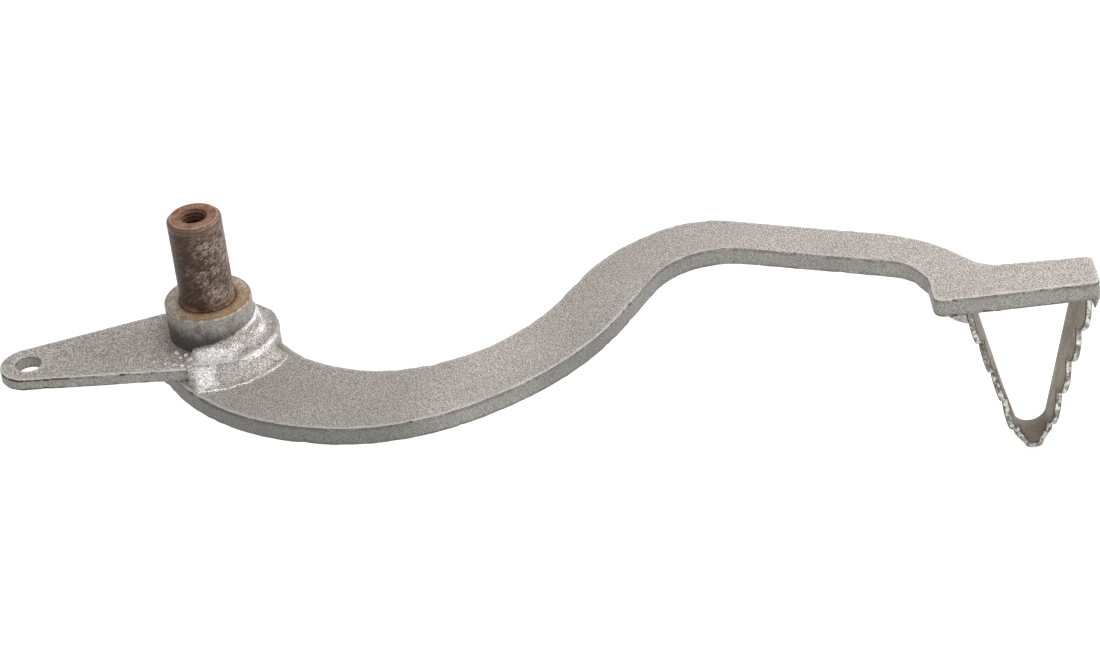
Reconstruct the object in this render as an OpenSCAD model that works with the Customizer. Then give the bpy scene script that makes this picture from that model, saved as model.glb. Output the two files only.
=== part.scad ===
// Brake pedal of welded plate: a cranked arm with a serrated toe loop, a brake rod lug and a pivot pin.
// Units are millimetres. The pivot axis is +Z, and Z = 0 is the face of the boss that rubs on the
// vehicle's frame. +X runs from the pivot to the toe, and -Y is the side that hangs down in use.

/* [Pivot pin] */
// Diameter of the pivot pin's bearing surface
pin_d = 16; // [12:0.5:20]
// Length of the pin that stands above the boss
pin_len = 28; // [18:1:45]
// Chamfer at the pin's free end
pin_chamfer = 0.9; // [0.3:0.1:1.5]
// Length of the pin that stands out of the arm's outer face, under its weld
pin_tail = 1.5; // [0.5:0.5:3]
// Width of the relief groove at the pin's foot
relief_w = 1; // [0.8:0.1:3]
// Depth of the relief groove
relief_depth = 0.3; // [0.1:0.1:0.8]
// Core diameter of the pin's threaded hole
thread_core_d = 6.8; // [5:0.1:8.5]
// Mouth diameter of the threaded hole's countersink
thread_mouth_d = 8.2; // [6:0.1:10]
// Depth of the threaded hole, to the start of its drill point
thread_depth = 24; // [12:1:40]

/* [Pivot boss] */
// Outside diameter of the boss
boss_d = 25.6; // [22:0.2:32]
// Height of the boss above the lug
boss_h = 11; // [6:0.5:18]
// Chamfer round the mouth of the boss's bore
boss_mouth = 0.6; // [0.2:0.1:1.2]
// Radial clearance round the pin in the boss and plates
pin_gap = 0.02; // [0.01:0.01:0.1]

/* [Arm] */
// Thickness of the arm's plate
arm_t = 5.8; // [4:0.2:10]
// Radius of the arm's round end about the pivot
arm_end_r = 19.3; // [16:0.1:26]
// Distance from the pivot axis to the arm's toe end
reach = 256.9; // [220:0.1:330]
// Distance from the pivot axis to the lowest point of the belly
belly_x = 50; // [40:1:62]
// How far the belly's lower edge lies below the pivot axis
belly_drop = 57; // [46:1:70]
// Width of the arm at the belly
belly_w = 28.4; // [22:0.1:36]
// Distance from the pivot axis to the crest of the knee
knee_x = 144; // [130:1:160]
// Height of the knee's crest above the pivot axis
knee_rise = 34.6; // [20:0.2:44]
// Bend radius of the outside of the knee
knee_r = 27; // [18:1:32]

/* [Toe block] */
// Length of the straight block that carries the toe loop
toe_len = 48.4; // [42:0.1:60]
// Width of the toe block
toe_w = 14.9; // [13:0.1:20]
// How far the toe block's upper edge lies below the pivot axis
toe_drop = 14.3; // [6:0.1:22]
// Corner radius of the toe block
toe_corner_r = 2.2; // [0.5:0.1:4]

/* [Brake rod lug] */
// Thickness of the lug's plate
lug_t = 3.7; // [2.5:0.1:6]
// Distance from the pivot axis to the rod hole, along the pedal
rod_x = 54.3; // [40:0.1:75]
// How far the rod hole lies below the pivot axis
rod_drop = 6.6; // [0:0.1:14]
// Diameter of the rod hole
rod_hole_d = 7.7; // [5:0.1:9]
// Radius of the lug's narrow end
lug_end_r = 8.5; // [7.5:0.1:12]
// Radius of the lug's wide end
lug_r = 18.3; // [17:0.1:24]
// Offset of the wide end's centre from the pivot, towards the toe
lug_shift_x = 1.2; // [0:0.1:2]
// Offset of the wide end's centre below the pivot
lug_shift_y = 3; // [0:0.1:4]

/* [Toe loop] */
// Thickness of the loop's strip
strip_t = 2; // [1.2:0.1:3]
// Width of the strip below its teeth
strip_w = 11.2; // [8:0.1:14]
// Depth of the loop below the arm, to the inside of its bend at the toothed edge
loop_depth = 47.1; // [36:0.1:60]
// Extra depth of the bend at the strip's plain edge
plain_dip = 0.9; // [0:0.1:3]
// Inside width of the loop at the arm, along its plain edge
mouth_plain = 30; // [24:0.1:34]
// Inside width of the loop at the arm, along its toothed edge
mouth_toothed = 34; // [26:0.1:36]
// Inside radius of the bend, at its plain edge
bend_r_plain = 5.2; // [3:0.1:8]
// Inside radius of the bend, at its toothed edge
bend_r_toothed = 3.2; // [2:0.1:7]
// How far the toothed edge leans towards the toe end, from its bend up to the arm
toothed_lean = 1; // [0:0.1:2]
// Distance from the middle of the loop to the toe end of the arm
loop_inset = 21; // [17:0.1:30]
// Pitch of the teeth along a leg
tooth_pitch = 11; // [8:0.5:15]
// Height of a tooth
tooth_h = 2.2; // [0.5:0.1:3]
// How far a tooth's crest is bent outwards
tooth_flare = 0.6; // [0:0.1:1.2]
// Width of the strip's edge that bends outwards with the teeth
tooth_root = 2.5; // [1:0.1:5]
// Rounding of the strip's long edges
strip_edge = 0.35; // [0.1:0.05:0.5]

/* [Welds] */
// Leg of the fillet weld between boss and lug
boss_weld_leg = 4.6; // [2:0.1:5.5]
// Angle about the pivot at which that weld starts, and how far it runs round the boss
boss_weld_start = -104; // [-180:1:0]
boss_weld_sweep = 128; // [60:1:200]
// Reach of the weld from the lug's edge over the arm
lug_weld_leg = 5.6; // [3:0.1:7]
// How far the lug's weld runs round the lug's wide end
lug_weld_sweep = 71; // [40:1:120]
// Reach of the rear toe weld along the arm's outer face
toe_weld_foot = 4.6; // [2:0.1:6]
// Reach of the rear toe weld down the loop
toe_weld_drop = 3; // [1.5:0.1:6]
// Reach of the front toe weld down the loop
toe_cap_drop = 5.2; // [2:0.1:8]
// Reach of the front toe weld up the arm's toe end
toe_cap_rise = 1.8; // [0.5:0.1:4]
// Thickness of the front toe weld over the arm's toe end
toe_cap_t = 0.8; // [0.3:0.1:1.5]
// Length of the same weld along the lug's straight side
lug_weld_run = 3.6; // [1:0.1:8]
// Leg of the weld round the pin on the outer face
pin_weld_leg = 2.6; // [1.5:0.1:4]

/* [Hidden] */
$fn = 96;

// Levels along the pivot axis, from the boss's face down
lug_top = -boss_h;
arm_top = lug_top - lug_t;
arm_bottom = arm_top - arm_t;
bore_r = pin_d / 2 + pin_gap;
drill_angle = 118;
cut = 1;

// Stations along the arm
toe_x = reach - toe_len;
belly_top = -belly_drop + belly_w;
loop_x = reach - loop_inset;
toe_y = -toe_drop - toe_w;
lug_centre = [lug_shift_x, -lug_shift_y];
rod_centre = [-rod_x, -rod_drop];
lug_line = rod_centre - lug_centre;
// Direction from the wide end's centre to where its lower tangent starts
lug_tangent = atan2(lug_line.y, lug_line.x) + acos((lug_r - lug_end_r) / norm(lug_line));

// Corners of the arm's outline as [x, y, bend radius], anticlockwise from the pivot
arm_lower = [
    [-17.9, 0, 0],
    // Heel, bottom and rise of the belly
    [belly_x - 60.7, -belly_drop + 17.7, 68],
    [belly_x - 10.3, -belly_drop + 0.1, 56],
    [belly_x + 13.7, -belly_drop + 1.6, 68],
    // Foot and inside of the knee
    [knee_x - 39.5, -belly_drop + 20, 95],
    [knee_x - 3.8, knee_rise - 14.1, 23],
    // Step down to the toe block
    [toe_x - 4.5, toe_y + 23.5, 12],
    [toe_x, toe_y + 14, 2],
    [toe_x, toe_y + 0.9, toe_corner_r + 1]
];
arm_toe = [
    [reach, toe_y, toe_corner_r],
    [reach, toe_y + toe_w, toe_corner_r]
];
arm_upper = [
    // Hollow and shoulder behind the toe block
    [toe_x + 17.3, -toe_drop + 2, 12],
    [toe_x + 1, 7.7, 45],
    // Outside of the knee
    [knee_x, knee_rise, knee_r],
    [knee_x - 27, knee_rise - 14, 56],
    [knee_x - 45.5, belly_top + 21.5, 50],
    // Bottom and heel of the belly's upper edge
    [belly_x + 26, belly_top + 1.2, 54],
    [belly_x - 3, belly_top, 34],
    [22.2, belly_top + 13, 38],
    [17.5, 0, 0]
];

// Rounding an outline's corners: each becomes an arc that meets its two sides, and a bend radius
// comes down where two arcs would run into each other on a short side
arc_steps = 14;
least_straight = 0.02;
function flat(p) = [p.x, p.y];
function unit(v) = v / norm(v);
function turned(p, angle) = [
    p.x * cos(angle) - p.y * sin(angle),
    p.x * sin(angle) + p.y * cos(angle)
];
function neighbour(corners, i, step) = corners[(i + step + len(corners)) % len(corners)];
function half_angle(corners, i) =
    let (
        here = flat(corners[i]),
        before = unit(flat(neighbour(corners, i, -1)) - here),
        after = unit(flat(neighbour(corners, i, 1)) - here)
    )
    acos(max(-1, min(1, before * after))) / 2;
function taken(corners, i) = corners[i][2] / tan(half_angle(corners, i));
function room(corners, i, step) =
    let (j = (i + step + len(corners)) % len(corners))
    (1 - least_straight) * norm(flat(corners[i]) - flat(corners[j]))
        / max(least_straight, taken(corners, i) + taken(corners, j));
function corner_arc(corners, i) =
    let (
        here = flat(corners[i]),
        u = unit(flat(neighbour(corners, i, -1)) - here),
        v = unit(flat(neighbour(corners, i, 1)) - here),
        half = half_angle(corners, i),
        r = corners[i][2] * min(1, room(corners, i, -1), room(corners, i, 1)),
        centre = here + unit(u + v) * r / sin(half),
        start = here + u * r / tan(half) - centre,
        finish = here + v * r / tan(half) - centre,
        turn = (start.x * finish.y - start.y * finish.x > 0 ? 1 : -1) * (180 - 2 * half)
    )
    [for (k = [0:arc_steps]) centre + turned(start, turn * k / arc_steps)];
function rounded(corners) = [
    for (i = [0:len(corners) - 1])
        each corners[i][2] > 0 ? corner_arc(corners, i) : [flat(corners[i])]
];

// Outline of a plate with two unequal round ends, joined by their outer tangents
function arc(centre, r, from, to, steps) = [
    for (i = [0:steps])
        let (angle = from + (to - from) * i / steps)
        centre + r * [cos(angle), sin(angle)]
];
function teardrop(c1, r1, c2, r2) =
    let (
        line = c2 - c1,
        along = atan2(line.y, line.x),
        lean = acos((r1 - r2) / norm(line))
    )
    concat(
        arc(c1, r1, along + lean, along - lean + 360, 60),
        arc(c2, r2, along - lean, along + lean, 28)
    );

// Convex fillet section in the corner of a wall, along +Y, and a floor, along +X
bulge = 0.16;
function fillet_outer(foot, rise) = [
    for (i = [0:6])
        let (k = i / 6, out = 1 + bulge * 4 * k * (1 - k))
        [foot * (1 - k) * out, rise * k * out]
];
function fillet_section(foot, rise) = concat([[0, 0]], fillet_outer(foot, rise));

// Serrated strip bent to a V. Each edge of the strip follows a V of its own, so the bend is a cone.
// A V's plane has its origin midway between the legs, at the arm's outer face, with depth below 0.
toothed_w = strip_w + tooth_h;
function leg_lean(half_mouth, r, depth) =
    atan2(half_mouth, depth - r) - asin(r / norm([half_mouth, depth - r]));
function leg_length(half_mouth, r, depth) =
    sqrt(pow(half_mouth, 2) + pow(depth - r, 2) - pow(r, 2));
function mirrored(v) = [-v.x, v.y];

// Inside point of a V and the direction of its thickness there, at a station [stretch, share, tooth]
LEFT_LEG = 0;
BEND = 1;
RIGHT_LEG = 2;
function v_frame(half_mouth, r, depth, station) =
    let (
        lean = leg_lean(half_mouth, r, depth),
        share = station[1],
        centre = [0, r - depth],
        out = [-cos(lean), -sin(lean)],
        top = [-half_mouth, 0],
        around = 180 + lean + (180 - 2 * lean) * share,
        leg = [
            top + (centre + r * out - top) * share,
            share == 0 ? [-1 / cos(lean), 0] : out
        ]
    )
    station[0] == BEND
        ? [centre + r * [cos(around), sin(around)], [cos(around), sin(around)]]
        : station[0] == LEFT_LEG ? leg : [mirrored(leg[0]), mirrored(leg[1])];

// A tooth rises along the leg towards the bend, rounds over and drops at its end
crest = 0.78;
drop_left = 0.25;
function tooth_rise(u) =
    u < crest
        ? sin(90 * u / crest)
        : drop_left + (1 - drop_left) * sqrt(max(0, 1 - pow((u - crest) / (1 - crest), 2)));
function smooth(u) = let (k = max(0, min(1, u))) k * k * (3 - 2 * k);
// The bend's own tooth rises in its middle, between two hollow necks
tip_start = 0.29;
tip_full = 0.37;
neck_dip = 0.5;
function tip_rise(share) =
    let (from_leg = min(share, 1 - share))
    from_leg < tip_start
        ? -neck_dip * sin(180 * from_leg / tip_start)
        : smooth((from_leg - tip_start) / (tip_full - tip_start));

toothed_leg = leg_length(mouth_toothed / 2, bend_r_toothed, loop_depth);
leg_teeth = floor(toothed_leg / tooth_pitch);
tooth_stations = [0.004, 0.15, 0.32, 0.5, 0.66, 0.78, 0.86, 0.92, 0.965, 0.992, 1];
bend_steps = 20;
down_leg = concat(
    [[0, 0]],
    [for (i = [0:leg_teeth - 1]) for (u = tooth_stations)
        [(i + u) * tooth_pitch / toothed_leg, tooth_rise(u)]],
    [[(leg_teeth + 0.004) * tooth_pitch / toothed_leg, 0]]
);
stations = concat(
    [for (s = down_leg) [LEFT_LEG, s[0], s[1]]],
    [for (i = [0:bend_steps]) [BEND, i / bend_steps, tip_rise(i / bend_steps)]],
    [for (i = [len(down_leg) - 1:-1:0]) [RIGHT_LEG, down_leg[i][0], down_leg[i][1]]]
);

// Section of the strip as [across, through] pairs: across from the plain edge, through from inside
function strip_section(w, out) = [
    [strip_edge, 0],
    [w - tooth_root, 0],
    [w - strip_edge, out],
    [w, out + strip_edge],
    [w, out + strip_t - strip_edge],
    [w - strip_edge, out + strip_t],
    [w - tooth_root, strip_t],
    [strip_edge, strip_t],
    [0, strip_t - strip_edge],
    [0, strip_edge]
];
function strip_point(station, across, through) =
    let (
        plain = v_frame(mouth_plain / 2, bend_r_plain, loop_depth + plain_dip, station),
        toothed = v_frame(mouth_toothed / 2, bend_r_toothed, loop_depth, station),
        share = across / toothed_w,
        at = plain + (toothed - plain) * share,
        lean = toothed_lean * share * (at[0].y / loop_depth + 0.5),
        p = at[0] + at[1] * through + [lean, 0]
    )
    [loop_x + p.x, toe_y + toothed_w - across, arm_bottom + p.y];
function strip_ring(station) =
    let (flare = station[0] == BEND ? 0 : tooth_flare)
    [
        for (c = strip_section(strip_w + tooth_h * station[2], flare * station[2]))
            strip_point(station, c[0], c[1])
    ];

module loop_strip() {
    rings = [for (s = stations) strip_ring(s)];
    n = len(rings[0]);
    last = len(rings) - 1;
    sides = [
        for (i = [0:last - 1]) for (j = [0:n - 1])
            let (a = i * n + j, b = i * n + (j + 1) % n)
            each [[a, a + n, b], [b, a + n, b + n]]
    ];
    ends = [
        [for (j = [0:n - 1]) j],
        [for (j = [n - 1:-1:0]) last * n + j]
    ];
    polyhedron([for (ring = rings) each ring], concat(sides, ends));
}

module arm() {
    color("silver")
    translate([0, 0, arm_bottom])
    linear_extrude(arm_t)
    difference() {
        union() {
            circle(arm_end_r);
            polygon(rounded(concat(arm_lower, arm_toe, arm_upper)));
        }
        circle(bore_r);
    }
}

module lug_plate(margin = 0) {
    translate([0, 0, arm_top - margin])
    linear_extrude(lug_t + 2 * margin)
    polygon(teardrop(lug_centre, lug_r, rod_centre, lug_end_r));
}

module rod_lug() {
    color("silver")
    difference() {
        lug_plate();
        translate([0, 0, arm_top - cut]) cylinder(h = lug_t + 2 * cut, r = bore_r);
        translate([rod_centre.x, rod_centre.y, arm_top - cut])
            cylinder(h = lug_t + 2 * cut, d = rod_hole_d);
    }
}

module pivot_boss() {
    color("darkgray")
    translate([0, 0, lug_top])
    difference() {
        cylinder(h = boss_h, d = boss_d);
        translate([0, 0, -cut]) cylinder(h = boss_h + 2 * cut, r = bore_r);
        translate([0, 0, boss_h - boss_mouth])
            cylinder(h = boss_mouth + cut, r1 = bore_r, r2 = bore_r + boss_mouth + cut);
    }
}

module pivot_pin() {
    mouth_depth = (thread_mouth_d - thread_core_d) / 2;
    core_r = thread_core_d / 2;
    point_depth = core_r / tan(drill_angle / 2);
    foot = arm_bottom - pin_tail;
    r = pin_d / 2;
    color("saddlebrown")
    rotate_extrude()
    polygon([
        [0, foot],
        [r, foot],
        [r, 0],
        [r - relief_depth, 0.2],
        [r - relief_depth, relief_w],
        [r, relief_w + relief_depth],
        [r, pin_len - pin_chamfer],
        [r - pin_chamfer, pin_len],
        [thread_mouth_d / 2, pin_len],
        [core_r, pin_len - mouth_depth],
        [core_r, pin_len - thread_depth],
        [0, pin_len - thread_depth - point_depth]
    ]);
}

module toe_loop() {
    color("gray") loop_strip();
}

module boss_weld() {
    color("gainsboro")
    translate([0, 0, lug_top])
    rotate(boss_weld_start)
    rotate_extrude(angle = boss_weld_sweep)
    translate([boss_d / 2, 0])
    polygon(fillet_section(boss_weld_leg, boss_weld_leg));
}

module lug_weld() {
    color("gainsboro")
    translate([lug_centre.x, lug_centre.y, arm_top])
    rotate(lug_tangent) {
        rotate_extrude(angle = lug_weld_sweep)
            translate([lug_r, 0])
            polygon(fillet_section(lug_weld_leg, lug_t));
        translate([lug_r, 0, 0])
            rotate([90, 0, 0])
            linear_extrude(lug_weld_run)
            polygon(fillet_section(lug_weld_leg, lug_t));
    }
}

module pin_weld() {
    color("gainsboro")
    translate([0, 0, arm_bottom])
    mirror([0, 0, 1])
    rotate_extrude()
    translate([bore_r, 0])
    polygon(fillet_section(pin_weld_leg, pin_tail));
}

// Bead laid along the width of the strip, with its section given in the X-Z plane
module toe_bead(section) {
    difference() {
        translate([0, toe_y + toothed_w, arm_bottom])
        rotate([90, 0, 0])
        linear_extrude(strip_w)
        polygon(section);
        loop_strip();
    }
}

module toe_weld_rear() {
    root = strip_t / 2;
    leg_x = loop_x - mouth_toothed / 2 - strip_t;
    color("gainsboro")
    toe_bead(concat(
        [[leg_x + root, 0]],
        [for (p = fillet_outer(toe_weld_foot, toe_weld_drop)) [leg_x - p.x, -p.y]],
        [[leg_x + root + 0.8, -toe_weld_drop]]
    ));
}

module toe_weld_front() {
    root = strip_t / 2;
    leg_x = loop_x + mouth_toothed / 2 + strip_t;
    color("gainsboro")
    toe_bead([
        [leg_x - root, 0],
        [leg_x - root - 1.4, -toe_cap_drop],
        [leg_x - 0.6, -toe_cap_drop],
        [leg_x + 1.2, -toe_cap_drop * 0.75],
        [reach + toe_cap_t * 0.6, -toe_cap_drop * 0.35],
        [reach + toe_cap_t, 0],
        [reach + toe_cap_t * 0.8, toe_cap_rise * 0.65],
        [reach, toe_cap_rise],
        [reach, 0]
    ]);
}

arm();
rod_lug();
pivot_boss();
pivot_pin();
toe_loop();
boss_weld();
lug_weld();
pin_weld();
toe_weld_rear();
toe_weld_front();
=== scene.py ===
"""Brake pedal of welded plate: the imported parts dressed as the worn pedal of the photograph.

Lengths in this file are millimetres unless a name says otherwise. Blender works in metres, so each
mesh is scaled by MM once, as it is made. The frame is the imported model's own: +Z along the pivot pin,
+X from the pivot to the toe, and Z = 0 at the boss's rubbing face.
"""
from __future__ import annotations

import logging
import math
import random
from dataclasses import dataclass, field
from enum import Enum
from typing import Sequence

import bpy
import numpy as np
from mathutils import Matrix, Vector, noise
from mathutils.geometry import delaunay_2d_cdt

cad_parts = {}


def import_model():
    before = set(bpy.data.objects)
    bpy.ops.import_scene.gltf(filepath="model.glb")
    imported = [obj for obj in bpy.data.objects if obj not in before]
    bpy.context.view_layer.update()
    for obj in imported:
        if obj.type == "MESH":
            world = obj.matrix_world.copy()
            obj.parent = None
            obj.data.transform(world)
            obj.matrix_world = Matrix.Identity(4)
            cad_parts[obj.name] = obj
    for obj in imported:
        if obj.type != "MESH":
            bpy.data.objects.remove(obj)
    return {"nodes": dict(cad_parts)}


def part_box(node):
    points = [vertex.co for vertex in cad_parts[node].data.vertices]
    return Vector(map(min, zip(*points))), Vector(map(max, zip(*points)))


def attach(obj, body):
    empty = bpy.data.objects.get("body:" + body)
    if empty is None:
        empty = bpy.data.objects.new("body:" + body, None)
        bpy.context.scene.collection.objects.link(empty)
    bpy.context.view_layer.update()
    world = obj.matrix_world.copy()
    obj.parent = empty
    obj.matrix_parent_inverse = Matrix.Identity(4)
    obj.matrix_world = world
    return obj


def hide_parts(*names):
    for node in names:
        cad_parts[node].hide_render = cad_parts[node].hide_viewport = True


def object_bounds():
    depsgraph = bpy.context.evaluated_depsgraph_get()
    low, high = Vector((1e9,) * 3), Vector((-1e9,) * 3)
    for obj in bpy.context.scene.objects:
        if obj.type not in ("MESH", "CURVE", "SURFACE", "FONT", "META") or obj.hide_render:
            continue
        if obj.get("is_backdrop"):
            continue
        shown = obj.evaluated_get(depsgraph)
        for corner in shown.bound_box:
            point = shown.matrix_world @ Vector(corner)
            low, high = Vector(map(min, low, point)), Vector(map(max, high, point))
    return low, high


LOG = logging.getLogger("pedal")
MM = 0.001

Colour = tuple[float, float, float]


def linear(level: int) -> float:
    """Linear value of one display level of 0 to 255."""
    share = level / 255
    return share / 12.92 if share <= 0.04045 else ((share + 0.055) / 1.055) ** 2.4


def srgb(red: int, green: int, blue: int) -> Colour:
    """Turn a display colour of 0 to 255 into the linear colour that shaders use."""
    return linear(red), linear(green), linear(blue)


# Shader graph


class Value:
    """A shader socket that carries a number, so that shader maths reads as arithmetic."""

    def __init__(self, graph: "Graph", socket: bpy.types.NodeSocket) -> None:
        """Wrap one output socket of a graph."""
        self.graph = graph
        self.socket = socket

    def __add__(self, other: "Value | float") -> "Value":
        """Sum."""
        return self.graph.maths("ADD", self, other)

    def __sub__(self, other: "Value | float") -> "Value":
        """Difference."""
        return self.graph.maths("SUBTRACT", self, other)

    def __rsub__(self, other: float) -> "Value":
        """Difference from a number on the left."""
        return self.graph.maths("SUBTRACT", other, self)

    def __mul__(self, other: "Value | float") -> "Value":
        """Product."""
        return self.graph.maths("MULTIPLY", self, other)

    def __truediv__(self, other: "Value | float") -> "Value":
        """Quotient."""
        return self.graph.maths("DIVIDE", self, other)

    def __rtruediv__(self, other: float) -> "Value":
        """Quotient of a number on the left."""
        return self.graph.maths("DIVIDE", other, self)

    def __abs__(self) -> "Value":
        """Size without sign."""
        return self.graph.maths("ABSOLUTE", self)

    __radd__ = __add__
    __rmul__ = __mul__

    def least(self, other: "Value | float") -> "Value":
        """Smaller of two values."""
        return self.graph.maths("MINIMUM", self, other)

    def rise(self, low: float, high: float) -> "Value":
        """Smooth step from 0 to 1.

        Args:
            low: Value at which the result leaves 0.
            high: Value at which it reaches 1; it may be below low.

        Returns:
            The step, from 0 to 1.
        """
        if high < low:
            return 1.0 - self.rise(high, low)
        node = self.graph.node("ShaderNodeMapRange", {"interpolation_type": "SMOOTHSTEP"},
                               {"Value": self, "From Min": low, "From Max": high})
        return Value(self.graph, node.outputs[0])

    def band(self, centre: float, half_width: float) -> "Value":
        """Soft bump that is 1 at a centre and 0 beyond a half width."""
        return abs(self - centre).rise(half_width, 0.0)


class Graph:
    """A node tree in which every node is made by the same method."""

    def __init__(self, tree: bpy.types.NodeTree) -> None:
        """Start from an empty tree."""
        self.tree = tree
        tree.nodes.clear()

    def node(self, kind: str, settings: dict | None = None,
             inputs: dict | None = None) -> bpy.types.Node:
        """Make a node.

        Args:
            kind: The node's type.
            settings: Properties of the node, set before its inputs.
            inputs: Input sockets by name or number, each a value, a socket or a constant.

        Returns:
            The node.
        """
        node = self.tree.nodes.new(kind)
        for key, value in (settings or {}).items():
            setattr(node, key, value)
        for key, value in (inputs or {}).items():
            socket = node.inputs[key]
            source = value.socket if isinstance(value, Value) else value
            if isinstance(source, bpy.types.NodeSocket):
                self.tree.links.new(source, socket)
            elif socket.type == "RGBA":
                socket.default_value = (*source, 1.0)
            else:
                socket.default_value = source
        return node

    def maths(self, operation: str, *terms: Value | float) -> Value:
        """Result of a Math node on values and numbers."""
        node = self.node("ShaderNodeMath", {"operation": operation}, dict(enumerate(terms)))
        return Value(self, node.outputs[0])

    def vector(self, operation: str, first: object, *others: object,
               **inputs: object) -> bpy.types.NodeSocket:
        """Result of a Vector Math node."""
        terms = {**dict(enumerate((first, *others))), **inputs}
        return self.node("ShaderNodeVectorMath", {"operation": operation}, terms).outputs[0]

    def joined(self, x: Value | float, y: Value | float, z: Value | float) -> bpy.types.NodeSocket:
        """Vector made of three values."""
        return self.node("ShaderNodeCombineXYZ", {}, {0: x, 1: y, 2: z}).outputs[0]


@dataclass(frozen=True)
class Pattern:
    """How a noise is made: features per millimetre, octaves, their strength, a shift and a pull."""

    scale: float
    detail: float = 2.0
    roughness: float = 0.5
    shift: tuple[float, float, float] = (0.0, 0.0, 0.0)
    distortion: float = 0.0


@dataclass(frozen=True)
class Sum:
    """A base number plus weighted values."""

    base: float
    weights: tuple[float, ...]

    def of(self, *values: Value) -> Value:
        """Add the values up.

        Args:
            values: One value for each weight.

        Returns:
            The base plus each value times its weight.
        """
        total: Value | float = self.base
        for value, weight in zip(values, self.weights):
            total = total + value * weight
        return total


@dataclass(frozen=True)
class Mask:
    """A soft threshold on weighted values: its two levels, its strength and the weights."""

    low: float
    high: float
    strength: float = 1.0
    weights: tuple[float, ...] = (1.0,)

    def over(self, *values: Value) -> Value:
        """Strength above the high level and 0 below the low one, or the reverse where high is less."""
        return Sum(0.0, self.weights).of(*values).rise(self.low, self.high) * self.strength


class Surface(Graph):
    """The node tree of one material, with the object's coordinates in millimetres."""

    GRAIN = Pattern(2.8, 1.0, 0.5, (3.0, 1.0, 8.0))
    GRAIN_MASK = Mask(0.4, 0.6)

    def __init__(self, name: str) -> None:
        """Make an empty material.

        Args:
            name: The material's name.
        """
        self.material = bpy.data.materials.new(name)
        self.material.use_nodes = True
        super().__init__(self.material.node_tree)
        place = self.node("ShaderNodeTexCoord").outputs["Object"]
        self.place = self.vector("SCALE", place, Scale=1 / MM)
        split = self.node("ShaderNodeSeparateXYZ", {}, {0: self.place})
        self.x, self.y, self.z = (Value(self, split.outputs[k]) for k in range(3))

    def from_axis(self) -> Value:
        """Distance from the pivot's axis."""
        return self.maths("SQRT", self.x * self.x + self.y * self.y)

    def noise(self, pattern: Pattern, place: bpy.types.NodeSocket | None = None) -> Value:
        """Noise spread evenly about a half.

        Args:
            pattern: How it is made.
            place: Coordinates, or the object's own in millimetres.

        Returns:
            The noise, mostly from 0.2 to 0.8.
        """
        spot = self.vector("ADD", place or self.place, pattern.shift)
        node = self.node("ShaderNodeTexNoise", {}, {
            "Vector": spot, "Scale": pattern.scale, "Detail": pattern.detail,
            "Roughness": pattern.roughness, "Distortion": pattern.distortion})
        return Value(self, node.outputs[0])

    def attribute(self, name: str) -> Value:
        """A number stored on the mesh's points."""
        return Value(self, self.node("ShaderNodeAttribute", {"attribute_name": name}).outputs["Fac"])

    def mix(self, share: Value | float, first: object, second: object) -> bpy.types.NodeSocket:
        """Colour between two colours, at a share of the second."""
        return self.node("ShaderNodeMix", {"data_type": "RGBA"},
                         {0: share, 6: first, 7: second}).outputs[2]

    def shaded(self, colour: object, factor: Value) -> bpy.types.NodeSocket:
        """Colour made lighter or darker by a factor."""
        return self.vector("SCALE", colour, Scale=factor)

    def grain(self, contrast: Value | float) -> Value:
        """Speckle of coarse paint as a factor about 1, half a millimetre across."""
        return 1.0 + (self.GRAIN_MASK.over(self.noise(self.GRAIN)) - 0.5) * contrast

    def bump(self, height: Value, depth: float,
             under: bpy.types.NodeSocket | None = None) -> bpy.types.NodeSocket:
        """Normal bent by a height.

        Args:
            height: Height from 0 to 1.
            depth: Millimetres that 1 stands for.
            under: A normal to start from.

        Returns:
            The normal.
        """
        inputs: dict = {"Height": height, "Distance": depth * MM, "Strength": 1.0}
        if under is not None:
            inputs["Normal"] = under
        return self.node("ShaderNodeBump", {}, inputs).outputs[0]

    def finish(self, colour: object, roughness: Value, metallic: Value | float,
               normal: bpy.types.NodeSocket) -> bpy.types.Material:
        """Close the graph with a Principled shader.

        Args:
            colour: Base colour.
            roughness: Roughness from 0 to 1.
            metallic: Share of bare metal from 0 to 1.
            normal: The bumped normal.

        Returns:
            The finished material.
        """
        shader = self.node("ShaderNodeBsdfPrincipled", {}, {
            "Base Color": colour, "Roughness": roughness, "Metallic": metallic, "Normal": normal})
        self.node("ShaderNodeOutputMaterial", {}, {0: shader.outputs[0]})
        return self.material


# Finishes


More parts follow.
